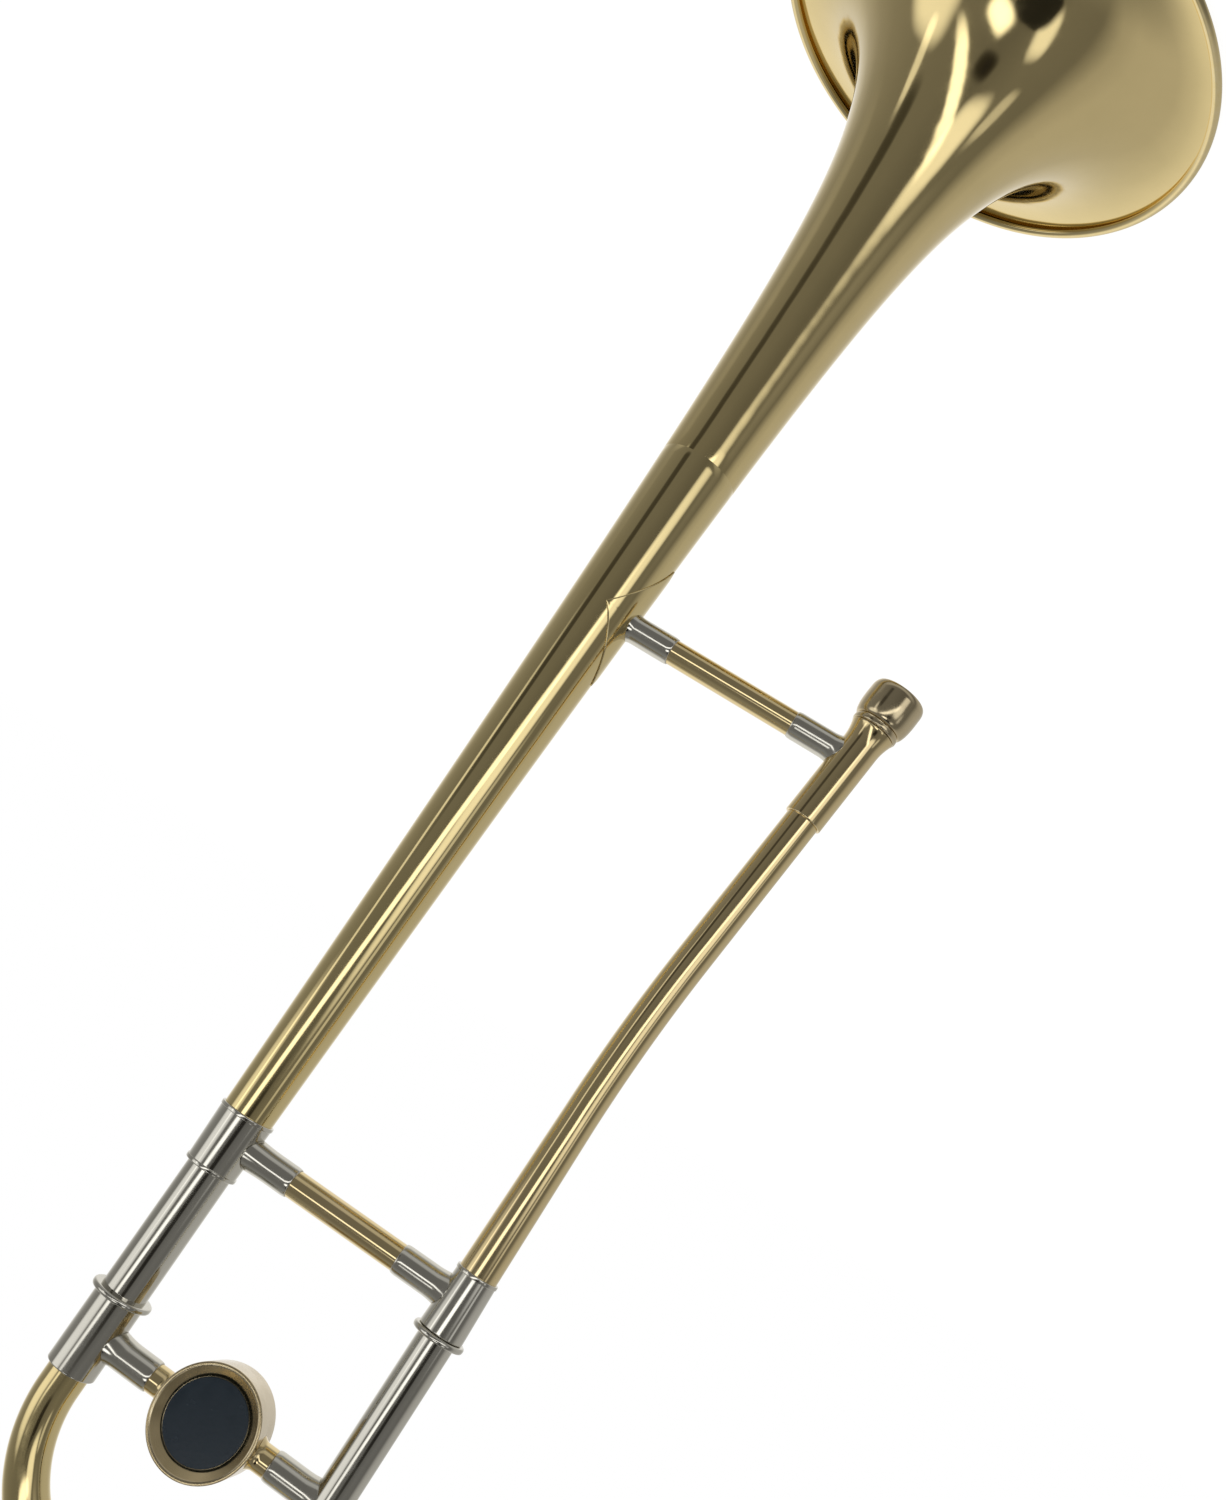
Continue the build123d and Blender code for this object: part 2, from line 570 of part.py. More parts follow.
# ---- upper brace, between the saddle and the tenon sleeve
upper_plane = brace_plane(UPPER_BRACE_HEIGHT)
sleeve_distance = TUBE_SPACING + (BEND_HEIGHT - UPPER_BRACE_HEIGHT) * math.tan(ANGLE)
saddle_foot = horn_radius(UPPER_BRACE_HEIGHT) + SOLDER_GAP + SADDLE_SHEET
sleeve_foot = sleeve_distance - SLEEVE_RADIUS / math.cos(ANGLE)
saddle_lip = saddle_foot + SOCKET_LENGTH
sleeve_lip = sleeve_foot - SOCKET_LENGTH
saddle_core = turned_core(Plane.XZ, Axis.Z, band_outside)
sleeve_edge = [(SLEEVE_RADIUS, SLEEVE_START), (SLEEVE_RADIUS, flare_start), (SLEEVE_FLARE_RADIUS, SLEEVE_END)]
sleeve_core = turned_core(MOUTH_PLANE, MOUTH_AXIS, sleeve_edge)

upper_brace_bell_socket = brace_socket(upper_plane, saddle_foot, saddle_lip, saddle_core)
finish(upper_brace_bell_socket, "upper_brace_bell_socket")
upper_brace_tube = brace_tube(upper_plane, saddle_lip, sleeve_lip)
finish(upper_brace_tube, "upper_brace_tube")
upper_brace_sleeve_socket = brace_socket(upper_plane, sleeve_foot, sleeve_lip, sleeve_core)
finish(upper_brace_sleeve_socket, "upper_brace_sleeve_socket")

# ---- lower brace, between the two ferrules
lower_plane = brace_plane(LOWER_BRACE_HEIGHT)
bell_edge = [
    (ferrule_waist, FERRULE_LOW + LIP_HEIGHT), (BELL_FERRULE_TOP_RADIUS, FERRULE_HIGH - LIP_HEIGHT)
]
neck_edge = [
    (NECK_FERRULE_LOW_RADIUS, FERRULE_LOW + LIP_HEIGHT), (NECK_FERRULE_HIGH_RADIUS, FERRULE_HIGH)
]
lower_bell_foot = (ferrule_waist + BELL_FERRULE_TOP_RADIUS) / 2
lower_neck_foot = TUBE_SPACING - (NECK_FERRULE_LOW_RADIUS + NECK_FERRULE_HIGH_RADIUS) / 2
lower_bell_lip = lower_bell_foot + SOCKET_LENGTH
lower_neck_lip = lower_neck_foot - SOCKET_LENGTH
bell_ferrule_core = turned_core(Plane.XZ, Axis.Z, bell_edge)
neck_ferrule_core = turned_core(NECK_PLANE, NECK_AXIS, neck_edge)

lower_brace_bell_socket = brace_socket(lower_plane, lower_bell_foot, lower_bell_lip, bell_ferrule_core)
finish(lower_brace_bell_socket, "lower_brace_bell_socket")
lower_brace_tube = brace_tube(lower_plane, lower_bell_lip, lower_neck_lip)
finish(lower_brace_tube, "lower_brace_tube")
lower_brace_neck_socket = brace_socket(lower_plane, lower_neck_foot, lower_neck_lip, neck_ferrule_core)
finish(lower_brace_neck_socket, "lower_brace_neck_socket")

# ---- counterweight: a heavy turned drum with a badge, carried on stubs between two sockets
weight_plane = brace_plane(WEIGHT_HEIGHT)
weight_bell_foot = SLIDE_FERRULE_RADIUS
weight_neck_foot = TUBE_SPACING - NECK_TUBE_RADIUS
weight_bell_lip = weight_bell_foot + SHORT_SOCKET_LENGTH
weight_neck_lip = weight_neck_foot - SHORT_SOCKET_LENGTH
slide_ferrule_edge = [(SLIDE_FERRULE_RADIUS, SLIDE_FERRULE_LOW), (SLIDE_FERRULE_RADIUS, BOW_LOW)]
neck_tube_edge = [(NECK_TUBE_RADIUS, NECK_RING_LOW), (NECK_TUBE_RADIUS, BOW_LOW)]
slide_ferrule_core = turned_core(Plane.XZ, Axis.Z, slide_ferrule_edge)
neck_tube_core = turned_core(NECK_PLANE, NECK_AXIS, neck_tube_edge)

counterweight_bell_socket = brace_socket(weight_plane, weight_bell_foot, weight_bell_lip, slide_ferrule_core)
finish(counterweight_bell_socket, "counterweight_bell_socket")
counterweight_neck_socket = brace_socket(weight_plane, weight_neck_foot, weight_neck_lip, neck_tube_core)
finish(counterweight_neck_socket, "counterweight_neck_socket")

drum_x = (weight_bell_lip + weight_neck_lip) / 2
drum_turn = math.radians(DRUM_TURN)
drum_plane = Plane(
    origin=(drum_x, 0, WEIGHT_HEIGHT), x_dir=(1, 0, 0), z_dir=(0, math.sin(drum_turn), math.cos(drum_turn))
)
drum_axis = Axis(drum_plane.origin, drum_plane.y_dir)
drum_edge = [(DRUM_RADIUS, -DRUM_FRONT), (DRUM_RADIUS, DRUM_FRONT)]
drum_core = turned_core(drum_plane, drum_axis, drum_edge)
bell_stub_tip = weight_bell_lip - SOCKET_PLUG + SOLDER_GAP
neck_stub_tip = weight_neck_lip + SOCKET_PLUG - SOLDER_GAP
drum_left = drum_x - DRUM_RADIUS
drum_right = drum_x + DRUM_RADIUS
stub_foot_length = min(STUB_FOOT_LENGTH, 0.8 * (drum_left - weight_bell_lip))

counterweight_bell_stub = coped_bar(
    weight_plane, drum_left, bell_stub_tip, STUB_FOOT_RADIUS, stub_foot_length, BRACE_TUBE_RADIUS, drum_core
)
finish(counterweight_bell_stub, "counterweight_bell_stub")
counterweight_neck_stub = coped_bar(
    weight_plane, drum_right, neck_stub_tip, STUB_FOOT_RADIUS, stub_foot_length, BRACE_TUBE_RADIUS, drum_core
)
finish(counterweight_neck_stub, "counterweight_neck_stub")

recess_radius = BADGE_RADIUS + BADGE_GAP
recess_floor = DRUM_FRONT - RECESS_DEPTH
drum_flat = DRUM_RADIUS - DRUM_ROUNDING
drum_side = DRUM_FRONT - DRUM_ROUNDING

with BuildPart() as counterweight_drum:
    with BuildSketch(drum_plane):
        with BuildLine():
            Polyline(
                (drum_flat, DRUM_FRONT),
                (recess_radius, recess_floor),
                (0, recess_floor),
                (0, -DRUM_FRONT),
                (drum_flat, -DRUM_FRONT),
            )
            RadiusArc((drum_flat, -DRUM_FRONT), (DRUM_RADIUS, -drum_side), -DRUM_ROUNDING)
            Line((DRUM_RADIUS, -drum_side), (DRUM_RADIUS, drum_side))
            RadiusArc((DRUM_RADIUS, drum_side), (drum_flat, DRUM_FRONT), -DRUM_ROUNDING)
        make_face()
    revolve(axis=drum_axis)
finish(counterweight_drum, "counterweight_drum")

badge_seat = Plane(origin=drum_plane.from_local_coords((0, recess_floor, 0)), z_dir=drum_plane.y_dir)

with BuildPart() as counterweight_badge:
    with BuildSketch(badge_seat):
        Circle(BADGE_RADIUS)
    extrude(amount=BADGE_THICKNESS)
finish(counterweight_badge, "counterweight_badge")
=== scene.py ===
import math

import bpy
import numpy as np
from mathutils import Matrix


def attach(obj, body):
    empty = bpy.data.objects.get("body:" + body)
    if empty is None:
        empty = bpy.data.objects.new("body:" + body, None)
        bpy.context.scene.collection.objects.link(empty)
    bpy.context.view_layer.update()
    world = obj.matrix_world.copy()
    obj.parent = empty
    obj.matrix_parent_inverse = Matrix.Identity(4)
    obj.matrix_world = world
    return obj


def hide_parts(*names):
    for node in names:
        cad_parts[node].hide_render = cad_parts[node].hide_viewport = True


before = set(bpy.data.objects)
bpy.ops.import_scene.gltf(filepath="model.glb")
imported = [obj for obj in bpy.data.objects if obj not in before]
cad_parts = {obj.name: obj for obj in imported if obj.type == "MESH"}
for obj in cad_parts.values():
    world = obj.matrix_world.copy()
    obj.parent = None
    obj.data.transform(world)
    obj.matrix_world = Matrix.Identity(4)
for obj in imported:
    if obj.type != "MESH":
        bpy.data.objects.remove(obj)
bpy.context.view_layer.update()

# ---- studio: camera, pale floor and soft light
# The instrument stands on its bell on a pale studio floor, inside a light tent with a few soft strips of light.
# The camera looks slightly down from the badge side and is rolled well over, so the bell comes at the top.
camera = bpy.data.objects.new("camera", bpy.data.cameras.new("camera"))
bpy.context.scene.collection.objects.link(camera)
bpy.context.scene.camera = camera
camera.data.sensor_width = 36.0
camera.data.lens = 34.722
camera.data.shift_x = -0.03087
camera.data.shift_y = 0.03578
camera.data.clip_start = 0.01
camera_right = (0.838713, -0.027234, -0.5439)
camera_down = (0.520651, -0.252687, 0.8155)
camera_forward = (-0.159586, -0.96722, -0.1977)
camera_place = (0.146637, 0.519948, 0.463031)
camera.matrix_world = Matrix([
    (right, -down, -forward, place)
    for right, down, forward, place in zip(camera_right, camera_down, camera_forward, camera_place)
] + [(0, 0, 0, 1)])
bpy.context.scene.view_settings.view_transform = "Standard"
bpy.context.scene.view_settings.look = "None"


def wire(tree, kind, values=(), **settings):
    """Adds a shader node. Values are put into its inputs by name or number; a socket there is linked."""
    node = tree.nodes.new(kind)
    for key, value in settings.items():
        setattr(node, key, value)
    for key, value in dict(values).items():
        if isinstance(value, bpy.types.NodeSocket):
            tree.links.new(value, node.inputs[key])
        else:
            node.inputs[key].default_value = value
    return node


def sums(tree, operation, a, b=0.0, c=0.0, clamp=False):
    """The output of a Math node."""
    return wire(tree, "ShaderNodeMath", {0: a, 1: b, 2: c}, operation=operation, use_clamp=clamp).outputs[0]


tent = bpy.data.worlds.new("light_tent")
bpy.context.scene.world = tent
tent.use_nodes = True
tent_tree = tent.node_tree
tent_tree.nodes.clear()
way = wire(tent_tree, "ShaderNodeTexCoord").outputs["Generated"]
split = wire(tent_tree, "ShaderNodeSeparateXYZ", {0: way})
turn = sums(tent_tree, "ARCTAN2", split.outputs[1], split.outputs[0])
turn = sums(tent_tree, "MULTIPLY_ADD", turn, 0.5 / math.pi, 0.5)

# Brightness of the tent's wall all round, by azimuth in degrees from +X towards +Y. The cloth is a little warm.
WALL_TINT = (1.0, 0.985, 0.95)
WALL = (
    (-180, 0.27), (-165, 0.33), (-150, 0.46), (-138, 0.66), (-118, 0.95), (-92, 0.95), (-74, 0.66), (-58, 0.52),
    (-20, 0.50), (-4, 0.42), (13, 0.17), (40, 0.19), (70, 0.14), (100, 0.18), (125, 0.19), (150, 0.22), (180, 0.27),
)
wall = wire(tent_tree, "ShaderNodeValToRGB", {0: turn})
while len(wall.color_ramp.elements) < len(WALL):
    wall.color_ramp.elements.new(0.5)
for stop, (azimuth, level) in zip(wall.color_ramp.elements, WALL):
    stop.position = azimuth / 360 + 0.5
    stop.color = (*(level * share for share in WALL_TINT), 1)
# The tent's lid and foot, one dim grey, take over from the wall between these two steepnesses.
LID_START = 0.8
LID_FULL = 0.99
LID_GREY = (0.26, 0.26, 0.25, 1)
steepness = sums(tent_tree, "ABSOLUTE", split.outputs[2])
lid = wire(
    tent_tree, "ShaderNodeMapRange", {0: steepness, 1: LID_START, 2: LID_FULL}, interpolation_type="SMOOTHSTEP"
)
glow = wire(
    tent_tree, "ShaderNodeMix", {0: lid.outputs[0], 6: wall.outputs[0], 7: LID_GREY}, data_type="RGBA"
).outputs[2]

# Soft boxes and dark flags: azimuth, elevation, half width, half length, tilt (all in degrees), brightness. A flag
# has a brightness below nothing. Each is a rounded square whose edge fades between the two box edges.
BOX_SQUARENESS = 3.0
BOX_EDGE_DARK = 1.8
BOX_EDGE_FULL = 0.05
DARKEST = 0.02
SOFT_BOXES = (
    (86, 3, 4.2, 31, -60, 1.7),
    (143, 17, 19.0, 13, 0, 0.85),
    (137, 0, 4.0, 12, 0, 0.7),
    (52, -9, 12.5, 13, -12, 0.95),
    (31, 1, 5.0, 9, 0, 0.45),
    (72, 12, 9.0, 5, 0, -0.12),
    (126, -16, 7.0, 12, 0, -0.13),
    (86, 30, 11.0, 6, 15, 1.9),
    (47, 36, 6.0, 14, -20, 0.9),
    (64, 43, 12.0, 9, 0, -1.5),
    (100, -60, 55.0, 12, 0, 0.30),
)
for azimuth, elevation, half_width, half_length, tilt, level in SOFT_BOXES:
    a, e, t = (math.radians(v) for v in (azimuth, elevation, tilt))
    middle = np.array((math.cos(e) * math.cos(a), math.cos(e) * math.sin(a), math.sin(e)))
    level_way = np.array((-math.sin(a), math.cos(a), 0))
    rising = np.cross(middle, level_way)
    across = math.cos(t) * level_way + math.sin(t) * rising
    along = math.cos(t) * rising - math.sin(t) * level_way
    spread = []
    for direction, half in ((across, half_width), (along, half_length)):
        part = wire(tent_tree, "ShaderNodeVectorMath", {0: way, 1: tuple(direction)}, operation="DOT_PRODUCT")
        part = sums(tent_tree, "MULTIPLY", part.outputs["Value"], 1 / math.sin(math.radians(half)))
        spread.append(sums(tent_tree, "POWER", sums(tent_tree, "ABSOLUTE", part), BOX_SQUARENESS))
    edge = sums(tent_tree, "ADD", spread[0], spread[1])
    shine = wire(
        tent_tree, "ShaderNodeMapRange", {0: edge, 1: BOX_EDGE_DARK, 2: BOX_EDGE_FULL, 3: 0.0, 4: 1.0},
        interpolation_type="SMOOTHSTEP",
    )
    facing = wire(tent_tree, "ShaderNodeVectorMath", {0: way, 1: tuple(middle)}, operation="DOT_PRODUCT")
    facing = sums(tent_tree, "GREATER_THAN", facing.outputs["Value"], 0.0)
    amount = sums(tent_tree, "MULTIPLY", sums(tent_tree, "MULTIPLY", shine.outputs[0], facing), level)
    glow = wire(tent_tree, "ShaderNodeVectorMath", {0: glow, 1: amount}, operation="ADD").outputs[0]
glow = wire(tent_tree, "ShaderNodeVectorMath", {0: glow, 1: (DARKEST,) * 3}, operation="MAXIMUM").outputs[0]
seen = wire(tent_tree, "ShaderNodeLightPath").outputs["Is Camera Ray"]
pale = wire(tent_tree, "ShaderNodeMix", {0: seen, 6: glow, 7: (1, 1, 1, 1)}, data_type="RGBA")
tent_light = wire(tent_tree, "ShaderNodeBackground", {0: pale.outputs[2], 1: 1.0})
wire(tent_tree, "ShaderNodeOutputWorld", {0: tent_light.outputs[0]})

# The floor, in metres: a large square just under the bell's rim, that glows evenly and takes a faint shadow.
FLOOR_HALF = 30.0
FLOOR_DROP = 0.0004
FLOOR_GLOW = 0.93
FLOOR_GREY = (0.25, 0.25, 0.25, 1)
floor_mesh = bpy.data.meshes.new("studio_floor")
floor_corners = [(x * FLOOR_HALF, y * FLOOR_HALF, -FLOOR_DROP) for x, y in ((-1, -1), (1, -1), (1, 1), (-1, 1))]
floor_mesh.from_pydata(floor_corners, [], [(0, 1, 2, 3)])
floor = bpy.data.objects.new("studio_floor", floor_mesh)
bpy.context.scene.collection.objects.link(floor)
floor_paint = bpy.data.materials.new("pale_floor")
floor_paint.use_nodes = True
floor_tree = floor_paint.node_tree
floor_tree.nodes.clear()
floor_glow = wire(floor_tree, "ShaderNodeEmission", {0: (1, 1, 1, 1), 1: FLOOR_GLOW})
floor_matt = wire(floor_tree, "ShaderNodeBsdfDiffuse", {0: FLOOR_GREY})
floor_both = wire(floor_tree, "ShaderNodeAddShader", {0: floor_glow.outputs[0], 1: floor_matt.outputs[0]})
wire(floor_tree, "ShaderNodeOutputMaterial", {0: floor_both.outputs[0]})
floor_mesh.materials.append(floor_paint)
floor.visible_glossy = False
floor.visible_diffuse = False

# ---- bell flare
# Yellow brass sheet, spun over a former and rolled round a wire at the rim, polished and then lacquered.
# The whole bell is one curve, a logarithmic stem plus a flare that dies away exponentially.
SHEET = 0.5
SOLDER_GAP = 0.03
BELL_RADIUS = 101.6
BEAD_RADIUS = 2.0
RIM_LAND = 1.0
CURL_END = math.radians(192)
HORN_TAIL_RADIUS = 9.42
HORN_LENGTH = 545.0
HORN_SPREAD = 8.17
HORN_OFFSET = 0.81
FLARE_LENGTH = 39.6
SEAM_HEIGHT = 235.0
BEAD_CENTRE_RADIUS = BELL_RADIUS - BEAD_RADIUS
BEAD_HEIGHT = math.sqrt(BEAD_RADIUS**2 - (RIM_LAND / 2) ** 2)
BACK_HEIGHT = BEAD_HEIGHT - (BEAD_RADIUS - SHEET)
FLARE_STATIONS = 110
BEAD_STATIONS = 40
EDGE_WEAR = 0.6
UP = (0, 0, 1)
ORIGIN = (0, 0, 0)
# The marks on every polished metal here. Scales are in features per metre.
CLOUD_SCALE = 38.0
SWELL_SCALE = 55.0
SMEAR_SCALE = 90.0
PATCH_SCALE = 420.0
SPECK_SCALE = 1500.0
SPECK_SHADE = 0.8
WEAR_SHARE = 0.55
WEAR_ROUGHNESS = 0.1
SCRATCH_DEPTH = 0.0000014
LACQUER_ROUGHNESS = 0.04


def alloy(name, colour, tint, roughness, grain, lacquer=0.0, ripple=0.0, lean=0.0, wear=(0.9, 0.85, 0.7)):
    """A polished metal, drawn or turned: its colour drifts between two tints in slow clouds, its roughness
    changes with smears left by the cloth, fine polishing lines run the way the grain's coarse direction
    points, and the edges, which carry the edge attribute, are rubbed paler. Ripple is the slow unevenness
    that hammering and hand polishing leave, in metres of height."""
    material = bpy.data.materials.new(name)
    material.use_nodes = True
    tree = material.node_tree
    tree.nodes.clear()
    place = wire(tree, "ShaderNodeTexCoord").outputs["Object"]
    clouds = wire(tree, "ShaderNodeTexNoise", {"Vector": place, "Scale": CLOUD_SCALE, "Detail": 4.0, "Roughness": 0.6})
    shade = wire(tree, "ShaderNodeMix", {0: clouds.outputs[0], 6: (*colour, 1), 7: (*tint, 1)}, data_type="RGBA")
    rubbed = wire(tree, "ShaderNodeAttribute", attribute_name="edge").outputs["Fac"]
    patch = wire(tree, "ShaderNodeTexNoise", {"Vector": place, "Scale": PATCH_SCALE, "Detail": 3.0})
    rubbed = sums(tree, "MULTIPLY", rubbed, sums(tree, "MULTIPLY_ADD", patch.outputs[0], 1.2, -0.25, clamp=True))
    shade = wire(
        tree, "ShaderNodeMix", {0: sums(tree, "MULTIPLY", rubbed, WEAR_SHARE), 6: shade.outputs[2], 7: (*wear, 1)},
        data_type="RGBA",
    )
    specks = wire(tree, "ShaderNodeTexNoise", {"Vector": place, "Scale": SPECK_SCALE, "Detail": 2.0})
    dust = wire(tree, "ShaderNodeMapRange", {0: specks.outputs[0], 1: 0.72, 2: 0.8, 3: 1.0, 4: SPECK_SHADE})
    shade = wire(
        tree, "ShaderNodeMix", {0: 1.0, 6: shade.outputs[2], 7: dust.outputs[0]}, data_type="RGBA",
        blend_type="MULTIPLY",
    )
    aligned = wire(tree, "ShaderNodeMapping", {"Vector": place, "Rotation": (0, lean, 0)})
    stretched = wire(tree, "ShaderNodeMapping", {"Vector": aligned.outputs[0], "Scale": grain})
    lines = wire(tree, "ShaderNodeTexNoise", {"Vector": stretched.outputs[0], "Scale": 1.0, "Detail": 3.0})
    smears = wire(
        tree, "ShaderNodeTexNoise", {"Vector": place, "Scale": SMEAR_SCALE, "Detail": 5.0, "Roughness": 0.65}
    )
    rough = wire(
        tree, "ShaderNodeMapRange",
        {0: smears.outputs[0], 1: 0.35, 2: 0.75, 3: roughness * 0.65, 4: roughness * 1.7},
    )
    rough = sums(tree, "MULTIPLY_ADD", lines.outputs[0], roughness * 0.45, rough.outputs[0])
    rough = sums(tree, "MULTIPLY_ADD", rubbed, WEAR_ROUGHNESS, rough)
    swell = wire(tree, "ShaderNodeTexNoise", {"Vector": place, "Scale": SWELL_SCALE, "Detail": 1.5})
    waves = wire(
        tree, "ShaderNodeBump", {"Height": swell.outputs[0], "Distance": ripple, "Strength": 1.0 if ripple else 0.0}
    )
    scratches = wire(
        tree, "ShaderNodeBump",
        {"Height": lines.outputs[0], "Distance": SCRATCH_DEPTH, "Strength": 0.6, "Normal": waves.outputs[0]},
    )
    skin = wire(tree, "ShaderNodeBsdfPrincipled", {
        "Base Color": shade.outputs[2], "Metallic": 1.0, "Roughness": rough, "Normal": scratches.outputs[0],
        "Coat Weight": lacquer, "Coat Roughness": LACQUER_ROUGHNESS, "Coat IOR": 1.5,
    })
    wire(tree, "ShaderNodeOutputMaterial", {0: skin.outputs[0]})
    return material


BRASS = (0.80, 0.655, 0.335)
BELL_BRASS = (0.84, 0.675, 0.335)
BRASS_TINT = (0.74, 0.60, 0.29)
SPUN = (60.0, 60.0, 5200.0)
DRAWN = (3800.0, 3800.0, 25.0)
bell_brass = alloy("lacquered_bell_brass", BELL_BRASS, BRASS_TINT, 0.06, SPUN, lacquer=0.3, ripple=0.00010)


def softened(corners, size, steps=5):
    """An outline of (radius, height) corners with each corner rounded: the corner is replaced by the quadratic
    curve from a point its size before it to a point its size after it. Sizes are limited to 0.45 of a side.
    Returns the points and a mark from 0 to 1 that is highest in the middle of a rounded corner."""
    corners = np.array(corners, float)
    size = np.broadcast_to(np.array(size, float), len(corners))
    before = np.roll(corners, 1, 0) - corners
    after = np.roll(corners, -1, 0) - corners
    long_before = np.linalg.norm(before, axis=1)
    long_after = np.linalg.norm(after, axis=1)
    reach = np.minimum(size, 0.45 * np.minimum(long_before, long_after))
    start = corners + before * (reach / long_before)[:, None]
    end = corners + after * (reach / long_after)[:, None]
    s = np.linspace(0, 1, steps)[None, :, None]
    points = (1 - s) ** 2 * start[:, None] + 2 * s * (1 - s) * corners[:, None] + s**2 * end[:, None]
    marks = np.broadcast_to(np.sin(np.pi * s[..., 0]), (len(corners), steps))
    return points.reshape(-1, 2), marks.reshape(-1)


def metal_skin(node, points, quads, caps, marks, body, material, also=(), even=True):
    """The finished skin of a node, from points in millimetres and its faces. If the quads hold a negative volume,
    measured from the middle of the points, every face is turned round. Each point's edge mark says how rubbed it
    is. Even weighs the shading by the size of the faces."""
    points = np.asarray(points, float) / 1000
    corner = points[quads] - points.mean(0)
    volume = np.einsum("ij,ij->", corner[:, 0], np.cross(corner[:, 1], corner[:, 2]))
    volume += np.einsum("ij,ij->", corner[:, 0], np.cross(corner[:, 2], corner[:, 3]))
    faces = quads.tolist() + caps
    if volume < 0:
        faces = [face[::-1] for face in faces]
    mesh = bpy.data.meshes.new(node + "_skin")
    mesh.from_pydata(points.tolist(), [], faces)
    mesh.update()
    mesh.polygons.foreach_set("use_smooth", np.ones(len(faces), bool))
    mesh.attributes.new("edge", "FLOAT", "POINT").data.foreach_set("value", np.asarray(marks).astype(np.float32))
    mesh.materials.append(material)
    piece = bpy.data.objects.new(node + "_skin", mesh)
    bpy.context.scene.collection.objects.link(piece)
    if even:
        piece.modifiers.new("even_shine", "WEIGHTED_NORMAL").weight = 90
    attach(piece, body)
    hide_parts(node, *also)


def skin_piece(node, rings, marks, body, material, also=()):
    """A closed skin from a grid of points, rings by points round each ring, that closes on itself both ways,
    like a bent ring. The marks are one number, or one for each ring."""
    m, n = rings.shape[:2]
    index = np.arange(m * n).reshape(m, n)
    down = np.roll(index, -1, 0)
    quads = np.stack([index, np.roll(index, -1, 1), np.roll(down, -1, 1), down], -1).reshape(-1, 4)
    marks = np.repeat(np.broadcast_to(np.asarray(marks, float), m), n)
    metal_skin(node, rings.reshape(-1, 3), quads, [], marks, body, material, also)


def turned(outline, base=ORIGIN, axis=UP, around=128):
    """Rings of a turned piece: each point of the (radius, height) outline is carried round the axis."""
    outline = np.asarray(outline, float)
    axis = np.array(axis, float)
    first = np.cross((0, 1, 0) if abs(axis[1]) < 0.5 else (1, 0, 0), axis)
    first = first / np.linalg.norm(first)
    second = np.cross(axis, first)
    t = np.linspace(0, 2 * np.pi, around, endpoint=False) - np.pi / 2
    out = np.cos(t)[:, None] * first + np.sin(t)[:, None] * second
    return np.array(base) + outline[:, 1][:, None, None] * axis + outline[:, 0][:, None, None] * out


def horn_radius(height):
    """Outside radius of the bell: the tail's radius, plus the spread times the logarithm of the length over
    the depth, plus a flare that falls off as an exponential of the depth."""
    depth = np.maximum(np.asarray(height, float) - BACK_HEIGHT, 0)
    stem = HORN_SPREAD * np.log((HORN_LENGTH + HORN_OFFSET) / (depth + HORN_OFFSET))
    flare = BEAD_CENTRE_RADIUS - HORN_TAIL_RADIUS - HORN_SPREAD * math.log((HORN_LENGTH + HORN_OFFSET) / HORN_OFFSET)
    return HORN_TAIL_RADIUS + stem + flare * np.exp(-depth / FLARE_LENGTH)


def horn_inside(height):
    """The inner wall, one sheet thickness square in from the outer wall."""
    slope = (horn_radius(height + 0.001) - horn_radius(height)) / 0.001
    length = np.sqrt(1 + slope**2)
    return np.stack([horn_radius(height) - SHEET / length, height + SHEET * slope / length], -1)


flare_heights = BACK_HEIGHT + (SEAM_HEIGHT - BACK_HEIGHT) * np.linspace(0.004, 1, FLARE_STATIONS) ** 3
flare_outside = np.stack([horn_radius(flare_heights), flare_heights], -1)
flare_inside = horn_inside(flare_heights[:-1])[::-1]
flare_inside = flare_inside[flare_inside[:, 1] > 0.02]
roll = np.linspace(-math.acos(RIM_LAND / 2 / BEAD_RADIUS), CURL_END, BEAD_STATIONS)
bead = np.stack([BEAD_CENTRE_RADIUS + BEAD_RADIUS * np.cos(roll), BEAD_HEIGHT + BEAD_RADIUS * np.sin(roll)], -1)
flare_outline = np.concatenate([
    flare_outside, [[horn_radius(SEAM_HEIGHT) - SHEET, SEAM_HEIGHT]], flare_inside,
    [[BEAD_CENTRE_RADIUS - RIM_LAND / 2, 0.0]], bead,
])
flare_marks = np.zeros(len(flare_outline))
flare_marks[-BEAD_STATIONS:] = np.sin(np.linspace(0, np.pi, BEAD_STATIONS)) ** 2 * EDGE_WEAR
skin_piece(
    "bell_flare", turned(flare_outline, around=288), flare_marks, "bell_section", bell_brass,
    ["rim_wire"],
)

# ---- bell stem
# The same brass, rolled from a sheet, brazed along its length, drawn over a mandrel and soldered to the flare.
# Its outside carries on the flare's curve, and its polishing lines run along it.
stem_heights = np.linspace(SEAM_HEIGHT, HORN_LENGTH, 90)
stem_outside = np.stack([horn_radius(stem_heights), stem_heights], -1)
stem_inside = (stem_outside - (SHEET, 0))[::-1]
stem_brass = alloy("drawn_stem_brass", BRASS, BRASS_TINT, 0.055, DRAWN, lacquer=0.35, ripple=0.00004)
skin_piece(
    "bell_stem", turned(np.concatenate([stem_outside, stem_inside]), around=144), 0.0, "bell_section",
    stem_brass,
)

